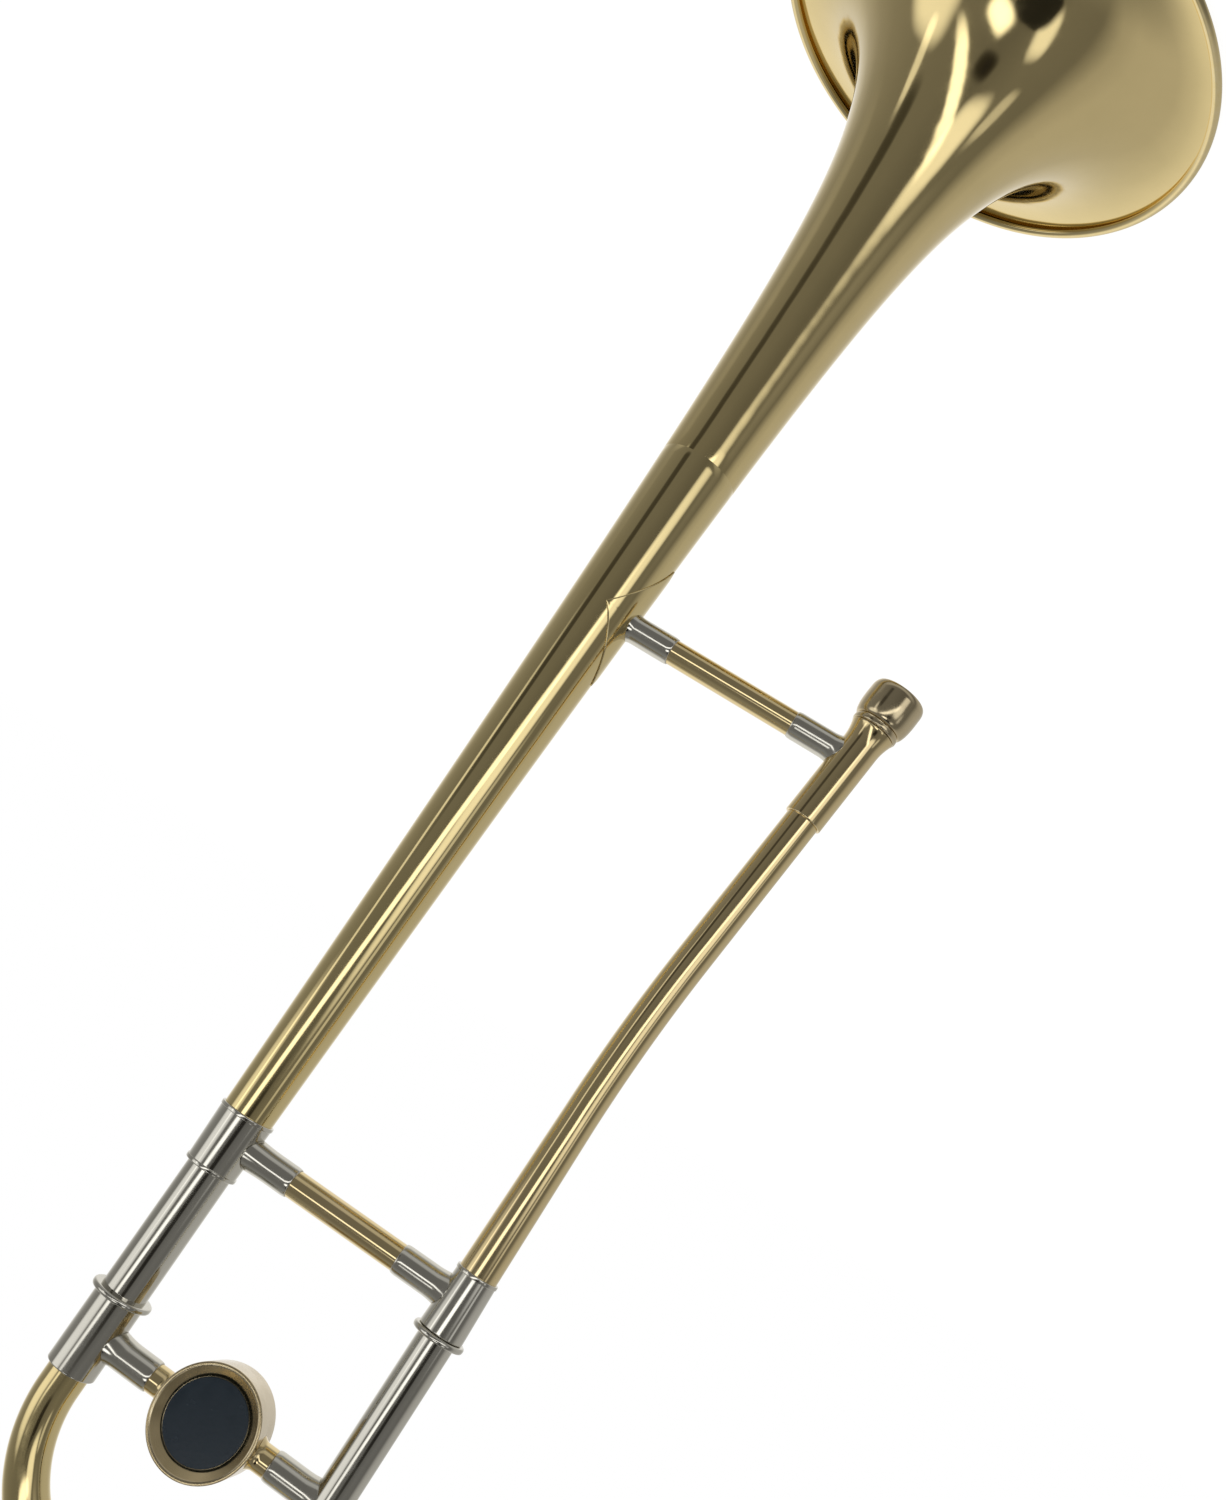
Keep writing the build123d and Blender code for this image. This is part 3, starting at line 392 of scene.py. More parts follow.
# ---- bell ferrule and the fixed outer slide tube
# Nickel silver, turned and drawn: the ferrule sleeves the bell's tail on to the slide tube, and the tube's open
# end is stiffened with a rounded ring. All soldered, then buffed bright.
FERRULE_LOW = 530.4
FERRULE_HIGH = 553.1
FERRULE_TOP_RADIUS = 9.6
FERRULE_LIP = 0.35
LIP_HEIGHT = 1.4
BELL_TUBE_RADIUS = 8.4
RING_HEIGHT = 2.2
BELL_RING_LOW = 602.0
BELL_RING_RADIUS = 11.35
LEG_REACH = 70.0
TUBE_ROUNDING = 0.18
NICKEL = (0.66, 0.64, 0.57)
NICKEL_TINT = (0.60, 0.58, 0.515)
NICKEL_WEAR = (0.8, 0.78, 0.72)
nickel = alloy("buffed_nickel_silver", NICKEL, NICKEL_TINT, 0.07, DRAWN, ripple=0.00002, wear=NICKEL_WEAR)
turned_nickel = alloy("turned_nickel_silver", NICKEL, NICKEL_TINT, 0.09, SPUN, wear=NICKEL_WEAR)
tail_bore = float(horn_radius(FERRULE_LOW)) + SOLDER_GAP
ferrule_waist = tail_bore + SHEET


def turned_piece(node, corners, size, body, material, base=ORIGIN, axis=UP, around=128):
    """A turned piece from the corners of its outline, each rounded by its size."""
    outline, marks = softened(corners, size)
    skin_piece(node, turned(outline, base, axis, around), marks, body, material)


def drawn_tube(node, radius, low, high, body, material, base=ORIGIN, axis=UP, wall=SHEET):
    """A straight tube: its wall's four corners, rounded a little, carried round its axis."""
    corners = [(radius, low), (radius, high), (radius - wall, high), (radius - wall, low)]
    turned_piece(node, corners, TUBE_ROUNDING, body, material, base, axis, 112)


turned_piece(
    "bell_ferrule",
    [
        (tail_bore, FERRULE_LOW), (ferrule_waist + FERRULE_LIP, FERRULE_LOW),
        (ferrule_waist + FERRULE_LIP, FERRULE_LOW + LIP_HEIGHT), (ferrule_waist, FERRULE_LOW + LIP_HEIGHT),
        (FERRULE_TOP_RADIUS, FERRULE_HIGH - LIP_HEIGHT),
        (FERRULE_TOP_RADIUS + FERRULE_LIP, FERRULE_HIGH - LIP_HEIGHT),
        (FERRULE_TOP_RADIUS + FERRULE_LIP, FERRULE_HIGH), (BELL_TUBE_RADIUS, FERRULE_HIGH),
        (BELL_TUBE_RADIUS, HORN_LENGTH + SHEET), (tail_bore, HORN_LENGTH + SHEET),
    ],
    [0.1, 0.4, 0.35, 0.3, 0.3, 0.35, 0.4, 0.1, 0.1, 0.1], "bell_section", nickel,
)
outer_tube_low = BELL_RING_LOW - LEG_REACH
drawn_tube(
    "bell_side_outer_tube", BELL_TUBE_RADIUS, outer_tube_low, BELL_RING_LOW + RING_HEIGHT, "bell_section",
    nickel,
)


def end_ring(node, inner, outer, low, base, body):
    """The rounded ring round a slide tube's end: its outer corners are rounded to almost half its height."""
    corners = [(inner, low), (outer, low), (outer, low + RING_HEIGHT), (inner, low + RING_HEIGHT)]
    turned_piece(node, corners, [0.05, 0.95, 0.95, 0.05], body, turned_nickel, base)


end_ring("bell_side_end_ring", BELL_TUBE_RADIUS, BELL_RING_RADIUS, BELL_RING_LOW, ORIGIN, "bell_section")

# ---- tuning slide, bell side
# The inner leg is a drawn nickel silver tube lapped to slide in the outer one; a plain sleeve joins it to the bow.
SLIDE_CLEARANCE = 0.03
STOP_GAP = 0.1
BOW_LOW = 631.5
BOW_RADIUS = 7.5
BOW_STRAIGHT = 6.5
FERRULE_OVERLAP = 12.0
SLIDE_FERRULE_RADIUS = 9.1
TUBE_SPACING = 99.4
bell_leg_radius = BELL_TUBE_RADIUS - SHEET - SLIDE_CLEARANCE
leg_top = BOW_LOW - FERRULE_OVERLAP
slide_ferrule_low = BELL_RING_LOW + RING_HEIGHT + STOP_GAP
drawn_tube(
    "bell_side_inner_leg", bell_leg_radius, outer_tube_low + SHEET, leg_top, "tuning_slide", nickel
)
turned_piece(
    "bell_side_slide_ferrule",
    [
        (SLIDE_FERRULE_RADIUS, slide_ferrule_low), (SLIDE_FERRULE_RADIUS, BOW_LOW), (BOW_RADIUS, BOW_LOW),
        (BOW_RADIUS, leg_top), (bell_leg_radius, leg_top), (bell_leg_radius, slide_ferrule_low),
    ],
    [0.3, 0.5, 0.15, 0.1, 0.1, 0.2], "tuning_slide", nickel,
)

# ---- tuning bow
# A drawn brass tube bent to a half circle round a former, a little rippled by the bending, then lacquered.
BOW_STATIONS = 150
ALL_WAYS = (900.0, 900.0, 900.0)
bow_brass = alloy("bent_bow_brass", BRASS, BRASS_TINT, 0.06, ALL_WAYS, lacquer=0.35, ripple=0.00016)


def carried(centres, tangents, outer, inner, around=96):
    """Rings of a bent tube: a circle square to the line at each station, outside one way and inside back.
    The line lies in the X-Z plane, so +Y is square to it everywhere."""
    side = np.stack([tangents[:, 2], np.zeros(len(tangents)), -tangents[:, 0]], -1)
    t = np.linspace(0, 2 * np.pi, around, endpoint=False) - np.pi / 2
    out = np.cos(t)[None, :, None] * side[:, None] + np.sin(t)[None, :, None] * np.array((0, 1.0, 0))
    outside = centres[:, None] + outer[:, None, None] * out
    inside = centres[:, None] + inner[:, None, None] * out
    return np.concatenate([outside, inside[::-1]])


half_spacing = TUBE_SPACING / 2
bow_start = leg_top + SOLDER_GAP
bow_straight = BOW_LOW + BOW_STRAIGHT - bow_start
neck_straight = BOW_STRAIGHT - SOLDER_GAP
bow_way = np.linspace(0, bow_straight + math.pi * half_spacing + neck_straight, BOW_STATIONS)
bow_turn = np.clip((bow_way - bow_straight) / half_spacing, 0, math.pi)
rise = np.minimum(bow_way, bow_straight) - np.maximum(bow_way - bow_straight - math.pi * half_spacing, 0)
bow_line = np.stack([
    half_spacing * (1 - np.cos(bow_turn)), np.zeros(BOW_STATIONS), bow_start + rise + half_spacing * np.sin(bow_turn)
], -1)
bow_tangents = np.stack([np.sin(bow_turn), np.zeros(BOW_STATIONS), np.cos(bow_turn)], -1)
bow_radii = np.full(BOW_STATIONS, BOW_RADIUS)
skin_piece(
    "tuning_bow", carried(bow_line, bow_tangents, bow_radii, bow_radii - SHEET), 0.0, "tuning_slide",
    bow_brass,
)

# ---- tuning slide, neck side
# Here the outer tube moves, with its end ring, over a leg that is fixed in the neck ferrule. Nickel silver.
NECK_TUBE_RADIUS = 6.97
NECK_RING_RADIUS = 9.92
BOW_FERRULE_RADIUS = 8.0
BOW_FERRULE_LENGTH = 13.0
NECK_BASE = (TUBE_SPACING, 0, 0)
neck_ring_low = FERRULE_HIGH + STOP_GAP
drawn_tube(
    "neck_side_outer_tube", NECK_TUBE_RADIUS, neck_ring_low, BOW_LOW, "tuning_slide", nickel,
    NECK_BASE,
)
end_ring("neck_side_end_ring", NECK_TUBE_RADIUS, NECK_RING_RADIUS, neck_ring_low, NECK_BASE, "tuning_slide")
bow_ferrule_low = BOW_LOW - BOW_FERRULE_LENGTH / 2
bow_ferrule_high = BOW_LOW + BOW_FERRULE_LENGTH / 2
turned_piece(
    "neck_side_bow_ferrule",
    [
        (BOW_FERRULE_RADIUS, bow_ferrule_low), (BOW_FERRULE_RADIUS, bow_ferrule_high),
        (BOW_RADIUS, bow_ferrule_high), (BOW_RADIUS, BOW_LOW), (NECK_TUBE_RADIUS, BOW_LOW),
        (NECK_TUBE_RADIUS, bow_ferrule_low),
    ],
    0.2, "tuning_slide", nickel, NECK_BASE,
)
neck_leg_radius = NECK_TUBE_RADIUS - SHEET - SLIDE_CLEARANCE
leg_low = HORN_LENGTH + SHEET
drawn_tube(
    "neck_side_inner_leg", neck_leg_radius, leg_low, neck_ring_low + LEG_REACH, "bell_section",
    nickel, NECK_BASE,
)

# ---- neck ferrule and neckpipe
# The neckpipe is a tapered brass tube with one slow bend; its low end is soldered into a nickel silver ferrule.
NECK_FERRULE_LOW_RADIUS = 7.8
NECK_FERRULE_HIGH_RADIUS = 8.5
NECKPIPE_LOW_RADIUS = 7.33
NECKPIPE_RADIUS = 6.65
BEND_HEIGHT = 433.1
BEND_TANGENT = 35.0
LEAN = math.radians(5.5)
SLEEVE_START = 99.8
SLEEVE_END = 143.3
TENON_PLUG = 9.5
PIPE_STATIONS = 150
turned_piece(
    "neck_ferrule",
    [
        (NECKPIPE_LOW_RADIUS, FERRULE_LOW), (NECK_FERRULE_LOW_RADIUS + FERRULE_LIP, FERRULE_LOW),
        (NECK_FERRULE_LOW_RADIUS + FERRULE_LIP, FERRULE_LOW + LIP_HEIGHT),
        (NECK_FERRULE_LOW_RADIUS, FERRULE_LOW + LIP_HEIGHT), (NECK_FERRULE_HIGH_RADIUS, FERRULE_HIGH),
        (neck_leg_radius, FERRULE_HIGH), (neck_leg_radius, leg_low), (NECKPIPE_LOW_RADIUS, leg_low),
    ],
    [0.1, 0.4, 0.35, 0.3, 0.5, 0.1, 0.1, 0.1], "bell_section", nickel, NECK_BASE,
)
bend_radius = BEND_TANGENT / math.tan(LEAN / 2)
bend_top = BEND_HEIGHT + BEND_TANGENT
pipe_end = SLEEVE_END - TENON_PLUG
mouth_way = np.array((math.sin(LEAN), 0, -math.cos(LEAN)))
bend_corner = np.array((TUBE_SPACING, 0, BEND_HEIGHT))
bend_start = HORN_LENGTH - bend_top
bend_length = bend_radius * LEAN
pipe_way = np.linspace(0, bend_start + bend_length + pipe_end - BEND_TANGENT, PIPE_STATIONS)
pipe_turn = np.clip((pipe_way - bend_start) / bend_radius, 0, LEAN)
drop = np.minimum(pipe_way, bend_start)
past = np.maximum(pipe_way - bend_start - bend_length, 0)
pipe_line = np.stack([
    TUBE_SPACING + bend_radius * (1 - np.cos(pipe_turn)) + past * mouth_way[0], np.zeros(PIPE_STATIONS),
    HORN_LENGTH - drop - bend_radius * np.sin(pipe_turn) + past * mouth_way[2],
], -1)
pipe_tangents = np.stack([np.sin(pipe_turn), np.zeros(PIPE_STATIONS), -np.cos(pipe_turn)], -1)
pipe_radii = np.interp(pipe_way, (HORN_LENGTH - FERRULE_LOW, bend_start), (NECKPIPE_LOW_RADIUS, NECKPIPE_RADIUS))
NECK_BRASS = (0.78, 0.62, 0.36)
neck_brass = alloy("drawn_neck_brass", NECK_BRASS, BRASS_TINT, 0.06, DRAWN, lacquer=0.35, ripple=0.00004)
skin_piece(
    "neckpipe", carried(pipe_line, pipe_tangents, pipe_radii, pipe_radii - SHEET), 0.0, "bell_section",
    neck_brass,
)

# ---- tenon sleeve and slide tenon
# A thick brass sleeve over the neckpipe's end, which takes the upper brace and flares into a collar. The turned
# brass tenon is soldered inside it: a journal and flange that keep the lock nut, a seat and a nose.
SLEEVE_RADIUS = 7.63
SLEEVE_FLARE_LENGTH = 8.2
SLEEVE_FLARE_RADIUS = 9.1
JOURNAL_RADIUS = 7.3
NUT_BACK_WALL = 3.0
NUT_PLAY = 0.15
JOURNAL_CLEARANCE = 0.05
FLANGE_RADIUS = 8.6
FLANGE_LENGTH = 2.0
SEAT_RADIUS = 6.35
SEAT_LENGTH = 11.0
NOSE_LENGTH = 1.8
NOSE_RADIUS = 5.95
TENON_BORE = 5.55
SLEEVE_EDGE = 0.25
SLEEVE_EDGE_STEP = 0.6
SLEEVE_FLARE_STATIONS = 14
TURNED_BRASS = (0.70, 0.595, 0.385)
TURNED_BRASS_TINT = (0.54, 0.44, 0.27)
sleeve_brass = alloy("turned_sleeve_brass", NECK_BRASS, BRASS_TINT, 0.07, DRAWN, lacquer=0.35, lean=LEAN)
turned_brass = alloy(
    "turned_nut_brass", TURNED_BRASS, TURNED_BRASS_TINT, 0.11, SPUN, lacquer=0.25, ripple=0.00005, lean=LEAN
)
flare_start = SLEEVE_END - SLEEVE_FLARE_LENGTH
flare_steps = np.linspace(0, 1, SLEEVE_FLARE_STATIONS)
sleeve_outline, sleeve_marks = softened(
    [
        (SLEEVE_FLARE_RADIUS - SLEEVE_EDGE_STEP, SLEEVE_END), (NECKPIPE_RADIUS, SLEEVE_END),
        (NECKPIPE_RADIUS, SLEEVE_START), (SLEEVE_RADIUS, SLEEVE_START), (SLEEVE_RADIUS, SLEEVE_START + 2),
    ],
    [0.01, 0.2, 0.1, 0.45, 0.01],
)
sleeve_flare = np.stack([
    SLEEVE_RADIUS + (SLEEVE_FLARE_RADIUS - SLEEVE_RADIUS) * flare_steps**2,
    flare_start + SLEEVE_FLARE_LENGTH * flare_steps,
], -1)[:-1]
sleeve_outline = np.concatenate([sleeve_outline, sleeve_flare, [(SLEEVE_FLARE_RADIUS, SLEEVE_END - SLEEVE_EDGE)]])
sleeve_marks = np.concatenate([sleeve_marks, np.zeros(len(sleeve_flare)), [EDGE_WEAR]])
skin_piece(
    "tenon_sleeve", turned(sleeve_outline, bend_corner, mouth_way), sleeve_marks, "bell_section",
    sleeve_brass,
)
journal_end = SLEEVE_END + NUT_BACK_WALL + 2 * NUT_PLAY
seat_start = journal_end + FLANGE_LENGTH
seat_end = seat_start + SEAT_LENGTH
turned_piece(
    "slide_tenon",
    [
        (TENON_BORE, pipe_end), (NECKPIPE_RADIUS, pipe_end), (NECKPIPE_RADIUS, SLEEVE_END),
        (JOURNAL_RADIUS, SLEEVE_END), (JOURNAL_RADIUS, journal_end), (FLANGE_RADIUS, journal_end),
        (FLANGE_RADIUS, seat_start), (SEAT_RADIUS, seat_start), (SEAT_RADIUS, seat_end),
        (NOSE_RADIUS, seat_end + NOSE_LENGTH), (TENON_BORE, seat_end + NOSE_LENGTH),
    ],
    0.2, "bell_section", turned_brass, bend_corner, mouth_way,
)

# ---- lock nut
# A turned brass nut, free to spin on the tenon: a thin flange, a groove and a bowl with a rounded rim.
NUT_LENGTH = 18.0
NUT_BORE = 9.0
NUT_MOUTH_RADIUS = 9.6
NUT_BODY_RADIUS = 11.2
NUT_COLLAR_RADIUS = 9.5
NUT_GROOVE_RADIUS = 8.85
NUT_COLLAR_LENGTH = 1.9
NUT_GROOVE_LENGTH = 0.8
NUT_WIDEST_SHARE = 0.62
NUT_FULLNESS = 0.75
NUT_BRIM = 3.4
NUT_MOUTH_EDGE = 0.35
NUT_BRIM_STEP = 0.05
nut_start = SLEEVE_END + NUT_PLAY
nut_inside = nut_start + NUT_BACK_WALL
nut_end = nut_start + NUT_LENGTH
collar_end = nut_start + NUT_COLLAR_LENGTH
body_start = collar_end + NUT_GROOVE_LENGTH
body_widest = nut_start + NUT_WIDEST_SHARE * NUT_LENGTH
bulge = np.linspace(0, math.pi / 2, 30)
nut_bulge = np.stack([
    NUT_GROOVE_RADIUS + (NUT_BODY_RADIUS - NUT_GROOVE_RADIUS) * np.sin(bulge) ** NUT_FULLNESS,
    body_start + (body_widest - body_start) * (1 - np.cos(bulge)),
], -1)
brim = np.linspace(0, math.pi / 2, 24)
nut_brim = np.stack([
    NUT_MOUTH_RADIUS + (NUT_BODY_RADIUS - NUT_BRIM_STEP - NUT_MOUTH_RADIUS) * np.cos(brim),
    nut_end - NUT_BRIM + NUT_BRIM * np.sin(brim),
], -1)
nut_outside = np.concatenate([nut_bulge, nut_brim])[:-1]
nut_back, nut_back_marks = softened(
    [
        (NUT_MOUTH_RADIUS - NUT_MOUTH_EDGE, nut_end), (NUT_BORE, nut_end), (NUT_BORE, nut_inside),
        (JOURNAL_RADIUS + JOURNAL_CLEARANCE, nut_inside), (JOURNAL_RADIUS + JOURNAL_CLEARANCE, nut_start),
        (NUT_COLLAR_RADIUS, nut_start), (NUT_COLLAR_RADIUS, collar_end), (NUT_GROOVE_RADIUS, collar_end),
    ],
    [0.01, 0.2, 0.1, 0.1, 0.1, 0.8, 0.8, 0.1],
)
skin_piece(
    "lock_nut", turned(np.concatenate([nut_back, nut_outside]), bend_corner, mouth_way, 160),
    np.concatenate([nut_back_marks, np.zeros(len(nut_outside))]), "lock_nut", turned_brass,
)

# ---- bell brace saddle
# A thin diamond of brass sheet, curved round the stem and soldered down, that spreads the upper brace's pull.
UPPER_BRACE_HEIGHT = 303.8
SADDLE_SHEET = 0.5
SADDLE_HALF_HEIGHT = 28.0
SADDLE_HALF_ANGLE = math.radians(78)
SADDLE_WAIST = 1.15
SADDLE_LEAST_HALF_ANGLE = math.radians(1.0)
SADDLE_EDGE_WIDTH = 0.35
SADDLE_EDGE_FALL = 0.8
rows = np.sin(np.linspace(-0.5, 0.5, 121) * np.pi)
spread_share = np.linspace(0, 1, 97)
half_turn = SADDLE_HALF_ANGLE * (1 - np.abs(rows) ** (1 / SADDLE_WAIST))
half_turn = np.maximum(half_turn, SADDLE_LEAST_HALF_ANGLE)
saddle_heights = UPPER_BRACE_HEIGHT + SADDLE_HALF_HEIGHT * rows
saddle_angles = half_turn[:, None] * (2 * spread_share - 1)
saddle_base = horn_radius(saddle_heights)[:, None] + SOLDER_GAP
edge_distance = (1 - np.abs(2 * spread_share - 1)[None, :]) * half_turn[:, None] * saddle_base
edge_fall = np.clip(edge_distance / SADDLE_EDGE_WIDTH, 0, 1)
saddle_top = saddle_base + SADDLE_SHEET * np.sqrt(1 - (1 - edge_fall) ** 2 * SADDLE_EDGE_FALL)
saddle_low = np.broadcast_to(saddle_base, saddle_top.shape)


def wrapped(radius, angle, height):
    """Points at a radius and an angle from +X about the bell axis, at a height."""
    height = np.broadcast_to(height[:, None], angle.shape)
    return np.stack([radius * np.cos(angle), radius * np.sin(angle), height], -1)


saddle_rings = np.concatenate([
    wrapped(saddle_top, saddle_angles, saddle_heights),
    wrapped(saddle_low, saddle_angles, saddle_heights)[:, ::-1],
], 1)
m_rows, n_round = saddle_rings.shape[:2]
saddle_index = np.arange(m_rows * n_round).reshape(m_rows, n_round)
saddle_next = np.roll(saddle_index, -1, 1)
saddle_quads = np.stack([saddle_index[:-1], saddle_next[:-1], saddle_next[1:], saddle_index[1:]], -1).reshape(-1, 4)
edge_marks = np.concatenate([1 - edge_fall, (1 - edge_fall)[:, ::-1]], 1)
metal_skin(
    "bell_brace_saddle", saddle_rings.reshape(-1, 3), saddle_quads,
    [saddle_index[0][::-1].tolist(), saddle_index[-1].tolist()], edge_marks.reshape(-1), "bell_section",
    stem_brass, even=False,
)

# ---- braces
# Nickel silver sockets, cast and turned, with feet coped to what they stand on and soldered; brass tubes between.
BRACE_TUBE_RADIUS = 5.05
SOCKET_RADIUS = 5.6
SOCKET_LENGTH = 18.0
SOCKET_PLUG = 9.0
LOWER_BRACE_HEIGHT = 541.0
LIP_LENGTH = 2.2
LIP_DROP = 0.4
LIP_EDGE = 0.05
BAR_PLAY = 0.005
PLUG_GAP = 0.05
BRACE_TUBE_WALL = 1.0
FOOT_WEAR = 0.5
BRACE_GRAIN = (25.0, 3800.0, 3800.0)
brace_nickel = alloy("brace_nickel_silver", NICKEL, NICKEL_TINT, 0.10, BRACE_GRAIN, wear=NICKEL_WEAR)
brace_brass = alloy("brace_tube_brass", NECK_BRASS, BRASS_TINT, 0.07, BRACE_GRAIN, lacquer=0.35)


def on_upright(centre_x, radius_at, way_out):
    """Where a bar along X meets an upright round of this radius: X from Y and Z."""
    return lambda y, z: centre_x + way_out * np.sqrt(np.maximum(radius_at(z) ** 2 - y**2, 0.01))


def on_sleeve(y, z):
    """Where a bar along X meets the leaning tenon sleeve from the bell's side, flare and all."""
    along = (BEND_HEIGHT - z) / math.cos(LEAN)
    flare = np.clip((along - flare_start) / SLEEVE_FLARE_LENGTH, 0, 1) ** 2
    radius = SLEEVE_RADIUS + (SLEEVE_FLARE_RADIUS - SLEEVE_RADIUS) * flare
    across = np.sqrt(np.maximum(radius**2 - y**2, 0.01))
    return TUBE_SPACING - (across + (z - BEND_HEIGHT) * math.sin(LEAN)) / math.cos(LEAN)


def coped_bar(node, height, foot_at, lip, radius, bore, feet, body, material):
    """A round bar along X: rings from its bored, rounded lip to a foot that lies on what it stands on. Near the
    foot the radius grows as the square of the nearness, by an amount and over a length that may differ below
    (towards the bell) and above. Feet are (swell below, swell above, length below, length above)."""
    around = 96
    t = np.linspace(0, 2 * np.pi, around, endpoint=False) - np.pi / 2
    below = (1 - np.sin(t)) / 2
    swell = feet[1] + (feet[0] - feet[1]) * below
    length = feet[3] + (feet[2] - feet[3]) * below
    foot_radius = radius + swell
    y = foot_radius * np.cos(t)
    z = height + foot_radius * np.sin(t)
    foot_x = foot_at(y, z)
    away = math.copysign(1, lip - foot_x.mean())
    nearness = np.linspace(1, 0, 16)[:, None]
    x = foot_x + away * length * (1 - nearness)
    r = radius + swell * nearness**2
    foot_rings = np.stack([x, r * np.cos(t), height + r * np.sin(t)], -1)
    k = np.linspace(0, 1, 10)
    mouth = np.stack([radius - LIP_DROP * (1 - np.sqrt(1 - k**2)), lip - away * LIP_LENGTH * (1 - k)], -1)
    mouth = np.concatenate([mouth, [(bore, lip - away * LIP_EDGE), (bore, lip - away * SOCKET_PLUG)]])
    mouth_marks = np.r_[k**2, 0.3, 0]
    mouth_rings = np.stack([
        np.broadcast_to(mouth[:, 1][:, None], (len(mouth), around)),
        mouth[:, 0][:, None] * np.cos(t), height + mouth[:, 0][:, None] * np.sin(t),
    ], -1)
    inner_x = foot_at(bore * np.cos(t), height + bore * np.sin(t))
    inner = np.stack([inner_x, bore * np.cos(t), height + bore * np.sin(t)], -1)[None]
    rings = np.concatenate([foot_rings, mouth_rings, inner])
    marks = np.concatenate([np.r_[FOOT_WEAR, np.zeros(len(nearness) - 1)], mouth_marks, [0]])
    skin_piece(node, rings, marks, body, material)


def brace_tube(node, height, left_lip, right_lip):
    """The brass tube between two sockets, plugged into both."""
    drawn_tube(
        node, BRACE_TUBE_RADIUS, left_lip - SOCKET_PLUG + PLUG_GAP, right_lip + SOCKET_PLUG - PLUG_GAP,
        "bell_section", brace_brass, (0, 0, height), (1, 0, 0), BRACE_TUBE_WALL,
    )


def saddle_radius(z):
    """Outside radius of the saddle where the upper brace stands on it."""
    return horn_radius(z) + SOLDER_GAP + SADDLE_SHEET


def ferrule_radius(z):
    """Outside radius of the bell ferrule, a straight taper between its two lips."""
    share = (z - FERRULE_LOW - LIP_HEIGHT) / (FERRULE_HIGH - FERRULE_LOW - 2 * LIP_HEIGHT)
    return ferrule_waist + (FERRULE_TOP_RADIUS - ferrule_waist) * np.clip(share, 0, 1)


def neck_ferrule_radius(z):
    """Outside radius of the neck ferrule, a straight taper above its lip."""
    share = (z - FERRULE_LOW - LIP_HEIGHT) / (FERRULE_HIGH - FERRULE_LOW - LIP_HEIGHT)
    return NECK_FERRULE_LOW_RADIUS + (NECK_FERRULE_HIGH_RADIUS - NECK_FERRULE_LOW_RADIUS) * np.clip(share, 0, 1)


saddle_lip = float(saddle_radius(UPPER_BRACE_HEIGHT)) + SOCKET_LENGTH
sleeve_distance = TUBE_SPACING + (BEND_HEIGHT - UPPER_BRACE_HEIGHT) * math.tan(LEAN)
sleeve_lip = sleeve_distance - SLEEVE_RADIUS / math.cos(LEAN) - SOCKET_LENGTH
socket_bore = BRACE_TUBE_RADIUS + BAR_PLAY
coped_bar(
    "upper_brace_bell_socket", UPPER_BRACE_HEIGHT, on_upright(0, saddle_radius, 1), saddle_lip, SOCKET_RADIUS,
    socket_bore, (0.35, 0.35, 2.5, 2.5), "bell_section", brace_nickel,
)
brace_tube("upper_brace_tube", UPPER_BRACE_HEIGHT, saddle_lip, sleeve_lip)
coped_bar(
    "upper_brace_sleeve_socket", UPPER_BRACE_HEIGHT, on_sleeve, sleeve_lip, SOCKET_RADIUS, socket_bore,
    (0.45, 0.45, 3.5, 3.5), "bell_section", brace_nickel,
)
lower_bell_lip = (ferrule_waist + FERRULE_TOP_RADIUS) / 2 + SOCKET_LENGTH
lower_neck_lip = TUBE_SPACING - (NECK_FERRULE_LOW_RADIUS + NECK_FERRULE_HIGH_RADIUS) / 2 - SOCKET_LENGTH
coped_bar(
    "lower_brace_bell_socket", LOWER_BRACE_HEIGHT, on_upright(0, ferrule_radius, 1), lower_bell_lip, SOCKET_RADIUS,
    socket_bore, (0.45, 0.45, 9.0, 9.0), "bell_section", brace_nickel,
)
brace_tube("lower_brace_tube", LOWER_BRACE_HEIGHT, lower_bell_lip, lower_neck_lip)
coped_bar(
    "lower_brace_neck_socket", LOWER_BRACE_HEIGHT, on_upright(TUBE_SPACING, neck_ferrule_radius, -1),
    lower_neck_lip, SOCKET_RADIUS, socket_bore, (0.45, 0.45, 5.0, 5.0), "bell_section", brace_nickel,
)

# ---- counterweight
# A heavy brass drum between the two tubes of the slide, on brass stubs soldered into two nickel silver sockets.
# A dark blue enamelled badge, with no mark on it, lies in the dished front.
WEIGHT_HEIGHT = 618.2
SHORT_SOCKET_LENGTH = 16.7
DRUM_RADIUS = 19.1
DRUM_DEPTH = 21.4
DRUM_ROUNDING = 1.2
DRUM_TURN = math.radians(6)
BADGE_RADIUS = 14.2
BADGE_THICKNESS = 0.9
BADGE_GAP = 0.3
RECESS_DEPTH = 3.0
RECESS_SLOPE = 3.4
RECESS_ROUNDING = 0.3
HUB = 0.5
STUB_SWELL = 1.15
WEIGHT_BRASS = (0.63, 0.51, 0.30)
WEIGHT_BRASS_TINT = (0.52, 0.41, 0.22)
WEIGHT_GRAIN = (700.0, 700.0, 700.0)
weight_bell_lip = SLIDE_FERRULE_RADIUS + SHORT_SOCKET_LENGTH
weight_neck_lip = TUBE_SPACING - NECK_TUBE_RADIUS - SHORT_SOCKET_LENGTH
coped_bar(
    "counterweight_bell_socket", WEIGHT_HEIGHT, on_upright(0, lambda z: SLIDE_FERRULE_RADIUS, 1), weight_bell_lip,
    SOCKET_RADIUS, socket_bore, (0.9, 0.25, 7.5, 2.0), "tuning_slide", brace_nickel,
)
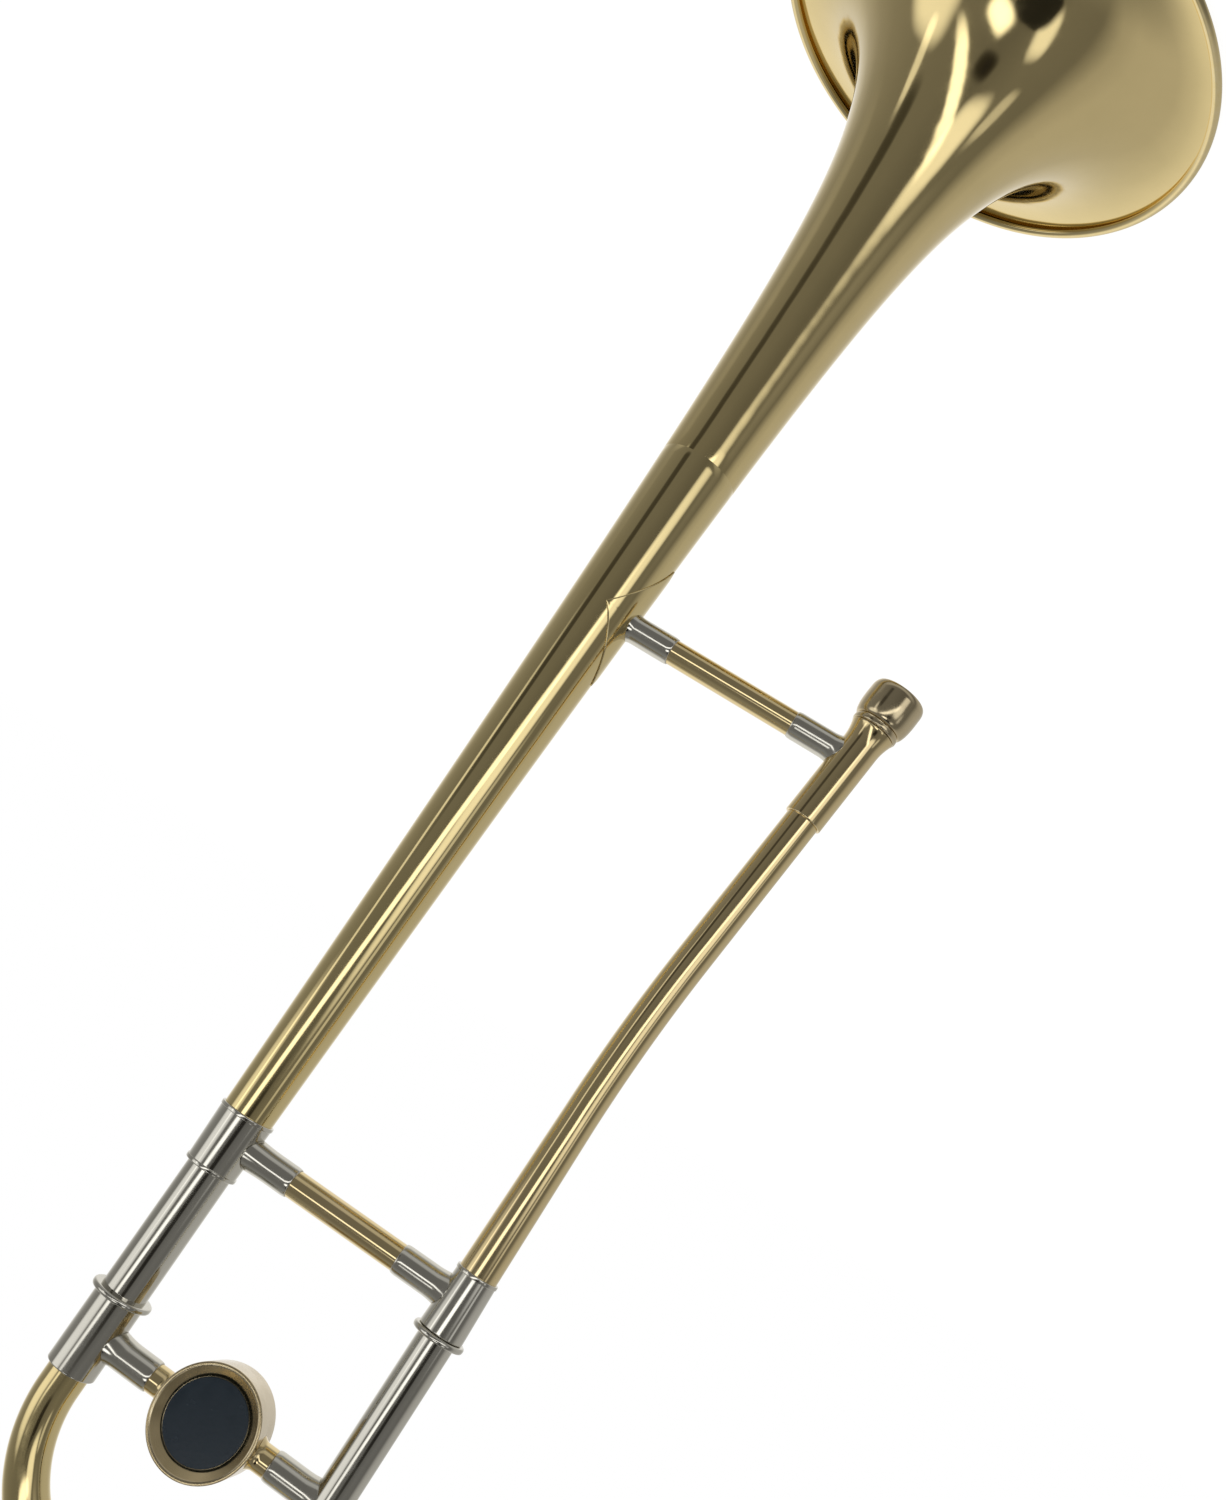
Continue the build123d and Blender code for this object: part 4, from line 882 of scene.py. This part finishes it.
coped_bar(
    "counterweight_neck_socket", WEIGHT_HEIGHT, on_upright(TUBE_SPACING, lambda z: NECK_TUBE_RADIUS, -1),
    weight_neck_lip, SOCKET_RADIUS, socket_bore, (0.45, 0.45, 5.0, 5.0), "tuning_slide",
    brace_nickel,
)
drum_x = (weight_bell_lip + weight_neck_lip) / 2
drum_base = np.array((drum_x, 0, WEIGHT_HEIGHT))
drum_way = np.array((0, math.cos(DRUM_TURN), -math.sin(DRUM_TURN)))


def on_drum(way_out):
    """Where a bar along X meets the drum's side, which is round about the drum's own axis."""
    def meet(y, z):
        square = y * math.sin(DRUM_TURN) + (z - WEIGHT_HEIGHT) * math.cos(DRUM_TURN)
        return drum_x + way_out * np.sqrt(np.maximum(DRUM_RADIUS**2 - square**2, 0.01))
    return meet


weight_brass = alloy("turned_weight_brass", WEIGHT_BRASS, WEIGHT_BRASS_TINT, 0.16, WEIGHT_GRAIN, lacquer=0.3)
for stub, way_out, tip in (
    ("counterweight_bell_stub", -1, weight_bell_lip - SOCKET_PLUG + PLUG_GAP),
    ("counterweight_neck_stub", 1, weight_neck_lip + SOCKET_PLUG - PLUG_GAP),
):
    coped_bar(
        stub, WEIGHT_HEIGHT, on_drum(way_out), tip, BRACE_TUBE_RADIUS, BRACE_TUBE_RADIUS - BRACE_TUBE_WALL,
        (STUB_SWELL, STUB_SWELL, 2.5, 2.5), "tuning_slide", brace_brass,
    )


def solid_turned(node, corners, size, steps, base, axis, body, material, around=192):
    """A turned piece that is solid to its axis: the outline between its first and last corner is carried round,
    and each end is closed by a fan of triangles to a point on the axis."""
    outline, marks = softened(corners, size, steps)
    outline, marks = outline[steps - 1:1 - steps], marks[steps - 1:1 - steps]
    rings = turned(outline, base, axis, around)
    index = np.arange(len(rings) * around).reshape(-1, around)
    following = np.roll(index, -1, 1)
    quads = np.stack([index[:-1], following[:-1], following[1:], index[1:]], -1).reshape(-1, 4)
    first, last = index.size, index.size + 1
    caps = [[first, b, a] for a, b in zip(index[0].tolist(), following[0].tolist())]
    caps += [[last, a, b] for a, b in zip(index[-1].tolist(), following[-1].tolist())]
    ends = [base + outline[k][1] * axis for k in (0, -1)]
    points = np.concatenate([rings.reshape(-1, 3), ends])
    marks = np.append(np.repeat(marks, around), [0, 0])
    metal_skin(node, points, quads, caps, marks, body, material)


drum_front = DRUM_DEPTH / 2
recess_radius = BADGE_RADIUS + BADGE_GAP
recess_floor = drum_front - RECESS_DEPTH
solid_turned(
    "counterweight_drum",
    [
        (HUB, -drum_front), (DRUM_RADIUS, -drum_front), (DRUM_RADIUS, drum_front),
        (recess_radius + RECESS_SLOPE, drum_front), (recess_radius, recess_floor), (HUB, recess_floor),
    ],
    [0.01, DRUM_ROUNDING, DRUM_ROUNDING, 0.5, RECESS_ROUNDING, 0.01], 8, drum_base, drum_way, "tuning_slide",
    weight_brass,
)
ENAMEL_BLUE = (0.014, 0.027, 0.041, 1)
ENAMEL_PALER_BLUE = (0.020, 0.037, 0.055, 1)
enamel = bpy.data.materials.new("badge_enamel")
enamel.use_nodes = True
enamel_tree = enamel.node_tree
enamel_tree.nodes.clear()
enamel_place = wire(enamel_tree, "ShaderNodeTexCoord").outputs["Object"]
enamel_cloud = wire(enamel_tree, "ShaderNodeTexNoise", {"Vector": enamel_place, "Scale": 160.0, "Detail": 4.0})
enamel_shade = wire(
    enamel_tree, "ShaderNodeMix",
    {0: enamel_cloud.outputs[0], 6: ENAMEL_BLUE, 7: ENAMEL_PALER_BLUE}, data_type="RGBA",
)
enamel_peel = wire(enamel_tree, "ShaderNodeTexNoise", {"Vector": enamel_place, "Scale": 900.0, "Detail": 2.0})
enamel_bump = wire(
    enamel_tree, "ShaderNodeBump", {"Height": enamel_peel.outputs[0], "Distance": 0.00003, "Strength": 0.5}
)
enamel_rough = wire(
    enamel_tree, "ShaderNodeMapRange", {0: enamel_cloud.outputs[0], 1: 0.3, 2: 0.7, 3: 0.16, 4: 0.3}
)
enamel_skin = wire(enamel_tree, "ShaderNodeBsdfPrincipled", {
    "Base Color": enamel_shade.outputs[2], "Roughness": enamel_rough.outputs[0], "Normal": enamel_bump.outputs[0],
    "Specular IOR Level": 0.3,
})
wire(enamel_tree, "ShaderNodeOutputMaterial", {0: enamel_skin.outputs[0]})
badge_top = recess_floor + BADGE_THICKNESS
solid_turned(
    "counterweight_badge",
    [(HUB, recess_floor), (BADGE_RADIUS, recess_floor), (BADGE_RADIUS, badge_top), (HUB, badge_top)],
    [0.01, 0.05, 0.3, 0.01], 5, drum_base, drum_way, "tuning_slide", enamel,
)
